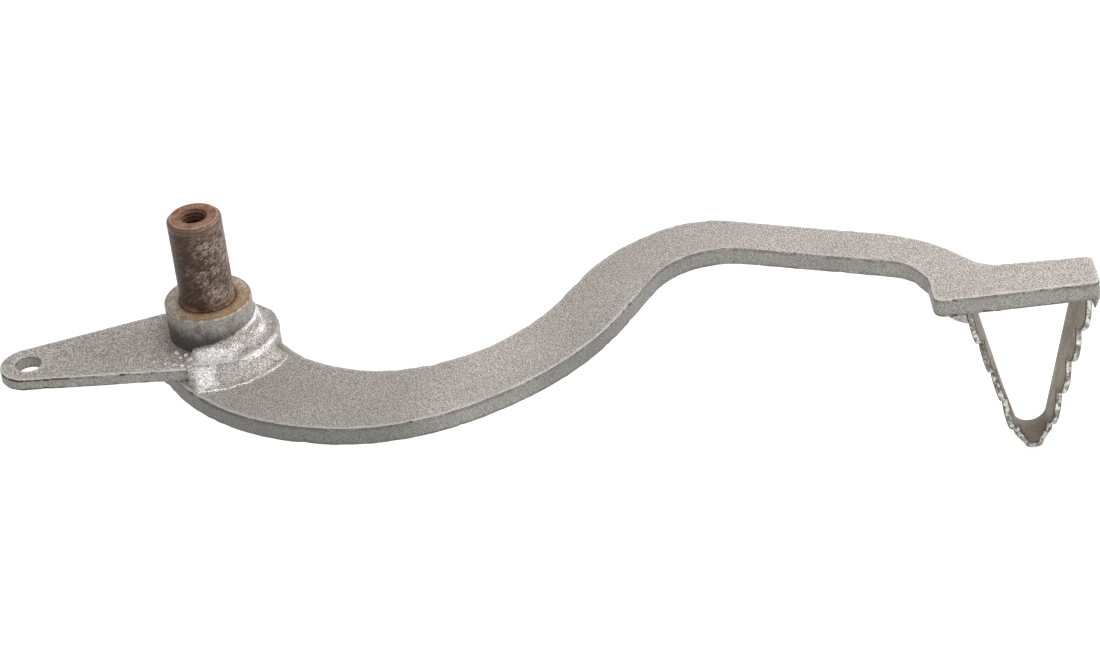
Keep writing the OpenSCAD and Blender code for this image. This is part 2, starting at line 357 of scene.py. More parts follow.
@dataclass(frozen=True)
class SilverPaint:
    """Coarse silver paint over plate, chipped to brown along its edges."""

    name: str = "silver_paint"
    warm: Colour = srgb(194, 183, 173)
    cool: Colour = srgb(178, 174, 170)
    side: Colour = srgb(168, 166, 160)
    rust: Colour = srgb(94, 70, 50)
    # Colour of the painted shade and brown grime under the rounded edges.
    edge_grime_and_shade: Colour = srgb(84, 76, 68)
    bright: Colour = srgb(232, 228, 222)
    scorch: Colour = srgb(120, 104, 90)
    metallic: float = 0.15
    cloud: Pattern = Pattern(0.05, 3.0, 0.55)
    smudge: Pattern = Pattern(0.28, 4.0, 0.6, (5.0, 60.0, 0.0))
    tint: Pattern = Pattern(1.1, 2.0, 0.6, (0.0, 33.0, 2.0))
    edge_noise: Pattern = Pattern(0.42, 4.0, 0.7)
    wide: Pattern = Pattern(0.09, 2.0, 0.5, (70.0, 0.0, 0.0))
    spot: Pattern = Pattern(0.9, 3.0, 0.6, (0.0, 0.0, 90.0))
    cool_mask: Mask = Mask(0.38, 0.62)
    side_share: float = 0.8
    scorch_mask: Mask = Mask(24.5, 17.5, 0.5, (1.0, 9.0))
    lug_face: Mask = Mask(-15.0, -14.4)
    lug_front: Mask = Mask(-4.5, -8.0)
    lug_tip: Mask = Mask(-36.0, -50.0, 2.0)
    lug_tip_side: Mask = Mask(0.2, 0.6)
    block: Mask = Mask(208.0, 214.0, 0.8)
    block_front: Mask = Mask(6.0, 2.0)
    block_side: Mask = Mask(0.1, 0.4)
    # Grime and painted shade darken the arm's belly, apart from the shank and a lighter band of painted
    # sheen.
    undarkened_shank: Mask = Mask(105.0, 172.0)
    sheen_at: float = 77.0
    sheen_half: float = 32.0
    grime_and_shade: float = 0.34
    contrast: Sum = Sum(0.98, (-0.4,))
    unevenness: Sum = Sum(0.75, (0.3, 0.2))
    # Painted highlight, partly worn paint, along the upper half of the rounded edges, strongest on the
    # lug's front.
    light_side: Mask = Mask(0.62, 0.3)
    light_mask: Mask = Mask(0.5, 0.64, 1.0, (0.6, 0.6, 0.22))
    light_share: Sum = Sum(0.5, (0.45,))
    # Painted shade, with brown grime, along the lower half of the rounded edges.
    dark_side: Mask = Mask(0.3, 0.7)
    dark_mask: Mask = Mask(0.0, 0.16, 0.55, (0.7, -0.5))
    chip_mask: Mask = Mask(1.86, 2.0, 1.0, (0.6, 1.3, 0.9, 0.2))
    chip_share: float = 0.9
    spot_mask: Mask = Mask(0.67, 0.74)
    spot_share: Sum = Sum(0.2, (0.5,))
    height: Sum = Sum(0.0, (0.8, -0.8, -0.5))
    grain_depth: float = 0.08
    smudge_depth: float = 0.3
    roughness: Sum = Sum(0.4, (0.2, 0.25))
    scratch_at: tuple[float, float] = (189.8, 9.4)
    scratch_half: float = 2.4
    scratch_width: float = 0.22
    scratch_turn: float = 0.13
    scratch_bow: float = 0.05
    scratch_share: float = 0.7
    scratch_gaps: Pattern = Pattern(1.5)
    scratch_gap_mask: Mask = Mask(0.3, 0.6)

    def material(self) -> bpy.types.Material:
        """Build the paint from grain, grime with painted shade and a painted sheen, painted edge
        highlights and shade, chips and one scratch.

        Returns:
            The material.
        """
        g = Surface(self.name)
        edge, side = g.attribute("edge"), g.attribute("side")
        smudge, tint = g.noise(self.smudge), g.noise(self.tint)
        edge_noise, wide = g.noise(self.edge_noise), g.noise(self.wide)
        on_lug = self.lug_face.over(g.z)
        front = on_lug * self.lug_front.over(g.y)
        colour = g.mix(self.cool_mask.over(tint), self.warm, self.cool)
        colour = g.mix(side * self.side_share, colour, self.side)
        colour = g.mix(self.scorch_mask.over(g.from_axis(), smudge), colour, self.scorch)
        # The tone carries grime and painted shade on the arm's belly, with a band of painted sheen.
        tone = g.grain(self.contrast.of(side)) * self.age(g, on_lug)
        colour = g.shaded(colour, tone * self.unevenness.of(g.noise(self.cloud), smudge))
        # Painted highlight, partly worn paint, on the upper half of the rounded edges.
        light = edge * self.light_side.over(side) * self.light_mask.over(edge_noise, wide, front)
        colour = g.mix(light * self.light_share.of(front), colour, self.bright)
        # Painted shade, with brown grime, on the lower half of the rounded edges.
        dark = edge * self.dark_side.over(side) * self.dark_mask.over(edge_noise, wide)
        colour = g.mix(dark, colour, self.edge_grime_and_shade)
        chip = self.chip_mask.over(edge, edge_noise, wide, self.battered(g, front, side))
        colour = g.mix(chip * self.chip_share, colour, self.rust)
        spots = self.spot_mask.over(g.noise(self.spot)) * self.spot_share.of(side)
        colour = g.mix(spots, colour, self.rust)
        cut = self.scratch(g)
        colour = g.mix(cut * self.scratch_share, colour, self.bright)
        normal = g.bump(self.height.of(g.grain(1.0), chip, cut), self.grain_depth,
                        g.bump(smudge, self.smudge_depth))
        return g.finish(colour, self.roughness.of(tint, chip), self.metallic * (1.0 - chip), normal)

    def age(self, g: Surface, on_lug: Value) -> Value:
        """Factor that darkens the arm's belly with grime and painted shade for the light's fall-off,
        apart from the shank and a lighter band of painted sheen.
        """
        grimy_shaded_belly = (1.0 - self.undarkened_shank.over(g.x)) * (1.0 - g.x.band(self.sheen_at, self.sheen_half))
        return 1.0 - grimy_shaded_belly * (1.0 - on_lug) * self.grime_and_shade

    def battered(self, g: Surface, front: Value, side: Value) -> Value:
        """Mask of the edges that chip most: the lug's tip and the front of the toe block."""
        tip = front * self.lug_tip.over(g.x) * self.lug_tip_side.over(side)
        return tip + self.block.over(g.x) * self.block_front.over(g.y) * self.block_side.over(side)

    def scratch(self, g: Surface) -> Value:
        """Mask of the fine curved scratch on the shank's upper face.

        Args:
            g: The paint's graph.

        Returns:
            The mask, broken into short lengths.
        """
        cos, sin = math.cos(self.scratch_turn), math.sin(self.scratch_turn)
        x, y = g.x - self.scratch_at[0], g.y - self.scratch_at[1]
        along = x * cos + y * sin
        across = y * cos - x * sin - along * along * self.scratch_bow
        line = across.band(0.0, self.scratch_width) * along.band(0.0, self.scratch_half)
        return line * self.scratch_gap_mask.over(g.noise(self.scratch_gaps))


@dataclass(frozen=True)
class BossSteel:
    """Silver paint down the side, and a bare rubbed face with rings of rust."""

    pin_r: float
    rim_r: float
    name: str = "boss_steel"
    paint: Colour = srgb(178, 174, 168)
    face: Colour = srgb(180, 152, 120)
    grey: Colour = srgb(202, 196, 186)
    rust: Colour = srgb(122, 80, 50)
    darker_low: Colour = srgb(58, 52, 46)
    bright: Colour = srgb(226, 220, 208)
    metallic: float = 0.22
    patch: Pattern = Pattern(0.25, 3.0, 0.6)
    streak: Pattern = Pattern(0.7, 3.0, 0.65)
    streak_stretch: float = 0.45
    mottle: Pattern = Pattern(0.42, 3.0, 0.6, (14.0, 2.0, 6.0))
    on_face: Mask = Mask(-0.34, -0.12)
    side_contrast: float = 0.55
    side_tone: Sum = Sum(0.33, (0.5, 0.7))
    darker_front_left: Mask = Mask(-5.0, 9.0, 0.9, (-0.7, -0.7))
    darker_low_mask: Mask = Mask(0.75, 1.5, 1.0, (-0.11, 0.9, 0.4))
    stain: Mask = Mask(0.55, 0.7, 0.3)
    grey_left: Mask = Mask(3.0, 9.0, 0.26, (-1.0, 0.3))
    grey_rear: Mask = Mask(4.0, 9.0, 0.2, (0.3, 1.0))
    grey_mask: Mask = Mask(0.56, 0.78, 0.85, (1.0, 1.0, 1.0))
    face_contrast: float = 0.62
    face_tone: Sum = Sum(0.76, (0.4,))
    inner_rust: Mask = Mask(3.7, 1.7, 0.75, (1.0, 3.0))
    outer_rust: Mask = Mask(-0.5, 0.8, 0.45, (1.0, 2.0))
    rim: Mask = Mask(-0.55, -0.25)
    rim_top: Mask = Mask(-0.75, -0.3)
    rim_worn: Mask = Mask(0.44, 0.6, 0.6)
    grain_depth: float = 0.08
    mottle_depth: float = 0.5
    roughness: Sum = Sum(0.38, (0.3,))

    def material(self) -> bpy.types.Material:
        """Build the finish from the side's paint, the bare face and the bright rim between them.

        Returns:
            The material.
        """
        g = Surface(self.name)
        patch, mottle = g.noise(self.patch), g.noise(self.mottle)
        streak = g.noise(self.streak, g.joined(g.x, g.y, g.z * self.streak_stretch))
        from_rim = g.from_axis() - self.rim_r
        side = self.painted_side(g, patch, streak, mottle)
        face = self.bare_face(g, patch, streak, mottle)
        colour = g.mix(self.on_face.over(g.z), side, face)
        rim = self.rim.over(from_rim) * self.rim_top.over(g.z) * self.rim_worn.over(streak)
        colour = g.mix(rim, colour, self.bright)
        normal = g.bump(g.grain(1.0), self.grain_depth, g.bump(mottle, self.mottle_depth))
        return g.finish(colour, self.roughness.of(patch), self.metallic, normal)

    def painted_side(self, g: Surface, patch: Value, streak: Value,
                     mottle: Value) -> bpy.types.NodeSocket:
        """Colour of the side, darker low down on its front left.

        Args:
            g: The finish's graph.
            patch: Broad noise.
            streak: Noise drawn out along the axis.
            mottle: Middling noise.

        Returns:
            The colour.
        """
        side = g.shaded(self.paint, g.grain(self.side_contrast) * self.side_tone.of(patch, streak))
        # Darker low down on the side's front left.
        darker_low = self.darker_front_left.over(g.x, g.y) * self.darker_low_mask.over(g.z, mottle, patch)
        side = g.mix(darker_low, side, self.darker_low)
        return g.mix(self.stain.over(mottle), side, self.rust)

    def bare_face(self, g: Surface, patch: Value, streak: Value,
                  mottle: Value) -> bpy.types.NodeSocket:
        """Colour of the end face, grey where it is rubbed and rusty round the pin and the rim.

        Args:
            g: The finish's graph.
            patch: Broad noise.
            streak: Noise drawn out along the axis.
            mottle: Middling noise.

        Returns:
            The colour.
        """
        radius = g.from_axis()
        rubbed = self.grey_mask.over(self.grey_left.over(g.x, g.y), mottle,
                                     self.grey_rear.over(g.x, g.y))
        face = g.mix(rubbed, self.face, self.grey)
        face = g.shaded(face, g.grain(self.face_contrast) * self.face_tone.of(patch))
        face = g.mix(self.inner_rust.over(radius - self.pin_r, streak), face, self.rust)
        return g.mix(self.outer_rust.over(radius - self.rim_r, streak), face, self.rust)


@dataclass(frozen=True)
class WornPin:
    """Bare steel, stained dark brown and rubbed bright in short slanted strokes, with painted light that
    makes its side lighter towards the right.
    """

    pin_r: float
    top: float
    hole_r: float
    name: str = "worn_pin"
    dark: Colour = srgb(62, 43, 34)
    brown: Colour = srgb(102, 79, 66)
    grey: Colour = srgb(172, 158, 144)
    bright: Colour = srgb(234, 228, 220)
    rust: Colour = srgb(130, 82, 54)
    tan: Colour = srgb(160, 122, 94)
    oil: Colour = srgb(96, 58, 40)
    collar: Colour = srgb(122, 98, 82)
    stroke: Pattern = Pattern(1.0, 3.0, 0.7, distortion=0.5)
    stroke_rear: Pattern = Pattern(0.9, 3.0, 0.7)
    fine: Pattern = Pattern(2.2, 2.0, 0.6)
    fine_rear: Pattern = Pattern(1.7, 2.0, 0.6)
    patch: Pattern = Pattern(0.16, 3.0, 0.6)
    pit: Pattern = Pattern(1.4)
    blotch: Pattern = Pattern(0.35, 4.0, 0.6)
    along_stroke: Sum = Sum(0.0, (0.5, 0.35))
    across_stroke: Sum = Sum(0.0, (0.78, -1.3))
    depth_scale: float = 0.3
    rear: Mask = Mask(2.4, 3.0)
    # Painted light on the pin's right side.
    lit_right: Mask = Mask(-0.8, 0.65)
    lit: Sum = Sum(-0.27, (0.17, 0.4))
    brown_mask: Mask = Mask(0.42, 0.6, 1.0, (1.0, 0.0, 1.0))
    grey_mask: Mask = Mask(0.56, 0.7, 0.9, (0.6, 0.4, 1.0))
    bright_mask: Mask = Mask(0.64, 0.76, 0.75, (0.45, 0.55, 0.7))
    pit_mask: Mask = Mask(0.42, 0.3, 0.85)
    foot_mask: Mask = Mask(2.8, 1.2, 1.0, (1.0, 1.4))
    foot_left: Mask = Mask(-0.56, 0.2)
    foot_tan: Mask = Mask(0.5, 0.85, 0.8, (1.0, 0.5, -0.12))
    collar_mask: Mask = Mask(-2.0, -0.8, 0.7, (1.0, 1.6))
    end_tan: Mask = Mask(0.4, 0.65)
    end_tone: Sum = Sum(0.5, (0.4, 0.5))
    end_pits: Mask = Mask(0.44, 0.3, 0.5)
    lip_at: float = 0.2
    lip_half: float = 0.9
    lip_share: float = 0.5
    on_end: Mask = Mask(-0.35, -0.15)
    rim_at: float = 1.06
    rim_half: float = 0.2
    rim_top: Mask = Mask(-0.35, -0.1, 0.6)
    rim_worn: Mask = Mask(0.3, 0.5)
    line_side: Mask = Mask(-0.35, -0.1, 0.6)
    line_at: float = -1.1
    line_half: float = 0.35
    bore_mask: Mask = Mask(0.05, -0.2)
    bore_share: float = 0.95
    bore_tone: Sum = Sum(0.4, (1.2,))
    height: Sum = Sum(0.0, (0.6, 0.5, 0.5))
    depth: float = 0.14
    roughness: Sum = Sum(0.34, (0.3, 0.2))
    metallic: Sum = Sum(0.35, (-0.3,))

    def material(self) -> bpy.types.Material:
        """Build the finish from slanted strokes on the side, rust on the end and oil in the bore.

        Returns:
            The material.
        """
        g = Surface(self.name)
        radius, below_top = g.from_axis(), g.z - self.top
        stroke, fine = self.strokes(g, radius)
        pit = g.noise(self.pit)
        foot = self.foot_mask.over(g.z, stroke)
        side = self.lit_and_rubbed_side(g, stroke, fine, pit, foot)
        end = g.mix(self.end_tan.over(g.noise(self.blotch)), self.rust, self.tan)
        end = g.shaded(end, self.end_tone.of(fine, pit))
        end = g.mix(self.end_pits.over(pit), end, self.dark)
        lip = (radius - self.hole_r).band(self.lip_at, self.lip_half)
        end = g.mix(lip * self.lip_share, end, self.rust)
        colour = g.mix(self.on_end.over(below_top), side, end)
        rim = radius.band(self.pin_r - self.rim_at, self.rim_half) * self.rim_top.over(below_top)
        colour = g.mix(rim * self.rim_worn.over(fine), colour, self.bright)
        line = self.line_side.over(radius - self.pin_r) * below_top.band(self.line_at, self.line_half)
        colour = g.mix(line, colour, self.dark)
        bore = self.bore_mask.over(radius - self.hole_r)
        colour = g.mix(bore * self.bore_share, colour, g.shaded(self.oil, self.bore_tone.of(pit)))
        normal = g.bump(self.height.of(stroke, fine, pit), self.depth)
        return g.finish(colour, self.roughness.of(fine, foot), self.metallic.of(bore), normal)

    def strokes(self, g: Surface, radius: Value) -> tuple[Value, Value]:
        """Coarse and fine strokes that slant round the pin, and plain noise where they would meet.

        Args:
            g: The finish's graph.
            radius: Distance from the axis.

        Returns:
            The coarse and the fine noise.
        """
        turn = g.maths("ARCTAN2", g.x, g.y * -1.0)
        around = turn * self.pin_r
        slant = g.joined(self.along_stroke.of(around, g.z), self.across_stroke.of(around, g.z),
                         radius * self.depth_scale)
        rear = self.rear.over(abs(turn))
        pairs = ((self.stroke, self.stroke_rear), (self.fine, self.fine_rear))
        coarse, fine = (g.noise(front, slant) * (1.0 - rear) + g.noise(plain) * rear
                        for front, plain in pairs)
        return coarse, fine

    def lit_and_rubbed_side(self, g: Surface, stroke: Value, fine: Value, pit: Value,
                    foot: Value) -> bpy.types.NodeSocket:
        """Colour of the pin's side, made lighter towards its right by painted light, over the rubbed
        strokes.

        Args:
            g: The finish's graph.
            stroke: Coarse strokes.
            fine: Fine strokes.
            pit: Noise of the pits.
            foot: Mask of the foot by the boss.

        Returns:
            The colour.
        """
        to_right = g.x / self.pin_r
        patch = g.noise(self.patch)
        # Painted light: the strokes turn lighter towards the pin's right, where the lamps fall.
        lit = self.lit.of(self.lit_right.over(to_right), patch)
        side = g.mix(self.brown_mask.over(stroke, fine, lit), self.dark, self.brown)
        side = g.mix(self.grey_mask.over(stroke, fine, lit), side, self.grey)
        side = g.mix(self.bright_mask.over(stroke, fine, lit), side, self.bright)
        side = g.mix(self.pit_mask.over(pit), side, self.dark)
        tan = foot * self.foot_tan.over(patch, fine, self.foot_left.over(to_right))
        side = g.mix(tan, side, self.tan)
        return g.mix(self.collar_mask.over(g.z - self.top, stroke), side, self.collar)


@dataclass(frozen=True)
class ToeSteel:
    """Brown grey strip, worn and ragged along the tops of its teeth, with painted highlights on their
    crowns and a painted shade outline inside them.
    """

    name: str = "toe_steel"
    inside: Colour = srgb(178, 172, 158)
    stain: Colour = srgb(160, 142, 122)
    dark: Colour = srgb(62, 56, 50)
    bright: Colour = srgb(240, 236, 230)
    grey: Colour = srgb(138, 134, 128)
    bend_stain: Colour = srgb(118, 104, 92)
    blotch: Pattern = Pattern(0.16, 3.0, 0.55)
    ragged: Pattern = Pattern(1.0, 3.0, 0.65, (0.0, 9.0, 40.0))
    wide: Pattern = Pattern(0.45)
    stain_mask: Mask = Mask(0.42, 0.62, 0.75)
    bend: Mask = Mask(-58.0, -65.0)
    bend_share: Sum = Sum(0.35, (0.7,))
    contrast: float = 0.5
    # The outline is painted shade, and the crown is partly a painted highlight.
    outline_at: float = 0.66
    outline_half: float = 0.4
    outline_share: Sum = Sum(0.5, (0.8,))
    bright_mask: Mask = Mask(0.46, 0.58, 0.9, (0.4, 0.6))
    dark_mask: Mask = Mask(0.47, 0.38, 0.8, (0.6, 0.4))
    worn_highlit_crown: Mask = Mask(0.8, 0.95)
    height: Sum = Sum(0.0, (0.5, 0.8))
    depth: float = 0.12
    roughness: Sum = Sum(0.5, (-0.2, 0.15))
    metallic: Sum = Sum(0.15, (0.25,))

    def material(self) -> bpy.types.Material:
        """Build the finish from the distance to the toothed edge.

        Returns:
            The material.
        """
        g = Surface(self.name)
        rim = g.attribute("rim")
        blotch, ragged, wide = (g.noise(p) for p in (self.blotch, self.ragged, self.wide))
        colour = g.mix(self.stain_mask.over(blotch), self.inside, self.stain)
        bend = self.bend.over(g.z) * self.bend_share.of(ragged).least(1.0)
        colour = g.shaded(g.mix(bend, colour, self.bend_stain), g.grain(self.contrast))
        # Painted shade: a dark outline just inside each tooth's rounded edge.
        outline = rim.band(self.outline_at, self.outline_half) * self.outline_share.of(ragged)
        colour = g.mix(outline.least(1.0), colour, self.dark)
        # The crowns of the teeth: worn steel with painted highlights and dark spots.
        worn_highlit_crown = g.mix(self.bright_mask.over(ragged, wide), self.grey, self.bright)
        worn_highlit_crown = g.mix(self.dark_mask.over(ragged, wide), worn_highlit_crown, self.dark)
        colour = g.mix(self.worn_highlit_crown.over(rim), colour, worn_highlit_crown)
        normal = g.bump(self.height.of(g.grain(1.0), ragged * rim), self.depth)
        return g.finish(colour, self.roughness.of(rim, blotch), self.metallic.of(rim), normal)


@dataclass(frozen=True)
class WeldMetal:
    """Weld metal under thin silver paint, with painted highlights on its ridges and painted shade in its
    hollows.
    """

    name: str = "weld_metal"
    paint: Colour = srgb(176, 170, 165)
    bright: Colour = srgb(244, 242, 240)
    dark: Colour = srgb(104, 98, 92)
    brown: Colour = srgb(136, 116, 98)
    metallic: float = 0.5
    lump: Pattern = Pattern(0.22, 3.0, 0.6, (2.0, 5.0, 0.0), 0.6)
    smear: Pattern = Pattern(0.5, 3.0, 0.65)
    smear_x: Sum = Sum(0.0, (0.7, 0.4))
    smear_z: float = 1.4
    bright_mask: Mask = Mask(1.16, 1.75, 0.95, (0.8, 0.7, 1.1))
    dark_mask: Mask = Mask(1.02, 0.74, 0.6, (0.8, 0.7, 1.1))
    brown_mask: Mask = Mask(0.42, 0.3, 0.4)
    contrast: float = 0.8
    grain_depth: float = 0.07
    smear_depth: float = 0.3
    lump_depth: float = 0.8
    roughness: Sum = Sum(0.3, (0.25,))

    def material(self) -> bpy.types.Material:
        """Build the finish from speckle and from painted highlight and shade that follow the bead's own
        ridges.

        Returns:
            The material.
        """
        g = Surface(self.name)
        ridge, lump = g.attribute("ridge"), g.noise(self.lump)
        smear = g.noise(self.smear, g.joined(self.smear_x.of(g.x, g.y), g.y, g.z * self.smear_z))
        # Painted highlight where the ridge mark is high, and painted shade where it is low.
        colour = g.mix(self.bright_mask.over(ridge, lump, smear), self.paint, self.bright)
        colour = g.mix(self.dark_mask.over(ridge, lump, smear), colour, self.dark)
        colour = g.mix(self.brown_mask.over(smear), colour, self.brown)
        colour = g.shaded(colour, g.grain(self.contrast))
        under = g.bump(smear, self.smear_depth, g.bump(lump, self.lump_depth))
        normal = g.bump(g.grain(1.0), self.grain_depth, under)
        return g.finish(colour, self.roughness.of(smear), self.metallic, normal)


# Meshes


NOISE_GAIN = 1.6

# Features per millimetre and the shift that picks one pattern of ripple()
Wave = tuple[float, float]


def ripple(points: np.ndarray, scale: float, seed: float = 0.0) -> np.ndarray:
    """Smooth noise at each point.

    Args:
        points: Places in millimetres, one per row.
        scale: Features per millimetre.
        seed: Shift that picks another pattern.

    Returns:
        Noise from about -1 to 1, one per point.
    """
    flat = points.reshape(-1, 3) * scale + seed
    values = [noise.noise(Vector(p)) for p in flat.tolist()]
    return np.array(values).reshape(points.shape[:-1]) * NOISE_GAIN


def grounded(xy: np.ndarray) -> np.ndarray:
    """Points of a plane as points in space, at height 0."""
    return np.column_stack([xy, np.zeros(len(xy))])


def full_turn(columns: int) -> np.ndarray:
    """Angles spaced evenly round a circle, in radians."""
    return np.linspace(0, 2 * math.pi, columns, endpoint=False)


def quads(rows: int, columns: int, closed: bool = False,
          flipped: bool = False) -> list[tuple[int, ...]]:
    """Faces between rings of points, each ring a row.

    Args:
        rows: Number of rings.
        columns: Points in a ring.
        closed: True where the last ring joins the first.
        flipped: True where the faces look the other way.

    Returns:
        Four point numbers for each face.
    """
    faces = []
    for i in range(rows if closed else rows - 1):
        k = (i + 1) % rows
        for j in range(columns):
            m = (j + 1) % columns
            a, b, c, d = i * columns + j, i * columns + m, k * columns + m, k * columns + j
            faces.append((a, d, c, b) if flipped else (a, b, c, d))
    return faces


@dataclass
class Part:
    """One piece of the pedal as points, faces and numbers stored on the points."""

    name: str
    points: list[np.ndarray] = field(default_factory=list)
    faces: list[tuple[int, ...]] = field(default_factory=list)
    marks: dict[str, list[np.ndarray]] = field(default_factory=dict)
    count: int = 0

    def add(self, points: np.ndarray, faces: Sequence[Sequence[int]],
            **marks: np.ndarray) -> None:
        """Add a shell of points and faces.

        Args:
            points: Places in millimetres.
            faces: Point numbers, counted from the shell's first point.
            marks: A number for each point, by name.
        """
        points = points.reshape(-1, 3)
        for key, value in marks.items():
            self.marks.setdefault(key, []).append(np.asarray(value, float).reshape(-1))
        self.points.append(points)
        self.faces.extend(tuple(int(i) + self.count for i in face) for face in faces)
        self.count += len(points)

    def add_rings(self, rings: np.ndarray, closed: bool = False, **marks: np.ndarray) -> None:
        """Add a skin over a row of rings, capped at both ends unless the row is closed.

        Args:
            rings: Points by ring, then round the ring.
            closed: True where the last ring joins the first.
            marks: A number for each point, by name.
        """
        rows, columns = rings.shape[:2]
        faces = quads(rows, columns, closed)
        if not closed:
            faces.append(tuple(range(columns - 1, -1, -1)))
            faces.append(tuple(range((rows - 1) * columns, rows * columns)))
        self.add(rings, faces, **marks)

    def build(self, nodes: Sequence[str], slot: str, material: bpy.types.Material,
              sharp: float) -> bpy.types.Object:
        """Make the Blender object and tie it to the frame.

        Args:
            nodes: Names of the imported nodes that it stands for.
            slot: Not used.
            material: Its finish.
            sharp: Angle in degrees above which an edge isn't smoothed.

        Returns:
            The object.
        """
        mesh = bpy.data.meshes.new(self.name)
        mesh.from_pydata((np.vstack(self.points) * MM).tolist(), [], self.faces)
        for key, values in self.marks.items():
            layer = mesh.attributes.new(key, "FLOAT", "POINT")
            layer.data.foreach_set("value", np.concatenate(values).astype(np.float32))
        mesh.validate()
        mesh.shade_smooth()
        mesh.set_sharp_from_angle(angle=math.radians(sharp))
        mesh.materials.append(material)
        piece = bpy.data.objects.new(self.name, mesh)
        bpy.context.scene.collection.objects.link(piece)
        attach(piece, "root")
        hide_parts(*nodes)
        LOG.info("%s: %d points, %d faces", self.name, len(mesh.vertices), len(mesh.polygons))
        return piece


def node_box(node: str) -> tuple[np.ndarray, np.ndarray]:
    """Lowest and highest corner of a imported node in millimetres."""
    low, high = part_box(node)
    return np.array(low) / MM, np.array(high) / MM


@dataclass(frozen=True)
class Sizes:
    """Levels and radii of the pedal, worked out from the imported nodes."""

    lug_top: float
    arm_top: float
    arm_bottom: float
    pin_top: float
    pin_foot: float
    pin_r: float
    boss_r: float

    @classmethod
    def of_frame(cls) -> "Sizes":
        """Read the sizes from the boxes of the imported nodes.

        Returns:
            The sizes.
        """
        lug_low, lug_high = node_box("rod_lug")
        arm_low, _ = node_box("arm")
        pin_low, pin_high = node_box("pivot_pin")
        _, boss_high = node_box("pivot_boss")
        return cls(lug_top=lug_high[2], arm_top=lug_low[2], arm_bottom=arm_low[2],
                   pin_top=pin_high[2], pin_foot=pin_low[2], pin_r=pin_high[1],
                   boss_r=boss_high[1])


FLAT_TOLERANCE = 0.01
LEAST_LOOP_POINTS = 12


def outline(node: str, level: float) -> list[np.ndarray]:
    """Loops round a packed plate's flat face.

    Args:
        node: The plate's node.
        level: Height of the face in millimetres.

    Returns:
        Closed loops of X and Y, the plate's own outline anticlockwise and its holes clockwise.
    """
    mesh = bpy.data.objects[node].data
    points = np.array([tuple(v.co) for v in mesh.vertices]) / MM
    keys = [tuple(np.round(p[:2], 3)) for p in points]
    following: dict = {}
    for face in mesh.polygons:
        ids = list(face.vertices)
        if max(abs(points[i][2] - level) for i in ids) < FLAT_TOLERANCE:
            for a, b in zip(ids, ids[1:] + ids[:1]):
                following[(keys[a], keys[b])] = True
    rim = {a: b for a, b in following if (b, a) not in following}
    loops: list[np.ndarray] = []
    while rim:
        start = next(iter(rim))
        loop, here = [start], rim.pop(start)
        while here != start:
            loop.append(here)
            here = rim.pop(here)
        loops.append(np.array(loop, float))
    return loops


def resampled(loop: np.ndarray, step: float) -> np.ndarray:
    """Spread a loop's points evenly.

    Args:
        loop: Points of a closed loop.
        step: Greatest distance between two new points.

    Returns:
        The new points.
    """
    closed = np.vstack([loop, loop[:1]])
    travel = np.concatenate([[0], np.cumsum(np.hypot(*np.diff(closed, axis=0).T))])
    count = max(LEAST_LOOP_POINTS, int(travel[-1] / step))
    places = np.linspace(0, travel[-1], count, endpoint=False)
    return np.stack([np.interp(places, travel, closed[:, k]) for k in range(2)], 1)


def outward(loop: np.ndarray) -> np.ndarray:
    """Find which way is out of the material.

    Args:
        loop: Points of a closed loop.

    Returns:
        A unit vector at each point.
    """
    along = np.roll(loop, -1, 0) - np.roll(loop, 1, 0)
    normal = np.stack([along[:, 1], -along[:, 0]], 1)
    return normal / np.hypot(*normal.T)[:, None]


def inside(points: np.ndarray, loops: Sequence[np.ndarray]) -> np.ndarray:
    """Find the points that lie in the outer loop and in no hole.

    Args:
        points: Points to test.
        loops: The outer loop and the holes.

    Returns:
        True for each point that does.
    """
    result = np.zeros(len(points), bool)
    for loop in loops:
        for (ax, ay), (bx, by) in zip(loop, np.roll(loop, -1, 0)):
            if ay != by:
                spans = (ay > points[:, 1]) != (by > points[:, 1])
                reach = ax + (points[:, 1] - ay) * (bx - ax) / (by - ay)
                result ^= spans & (points[:, 0] < reach)
    return result


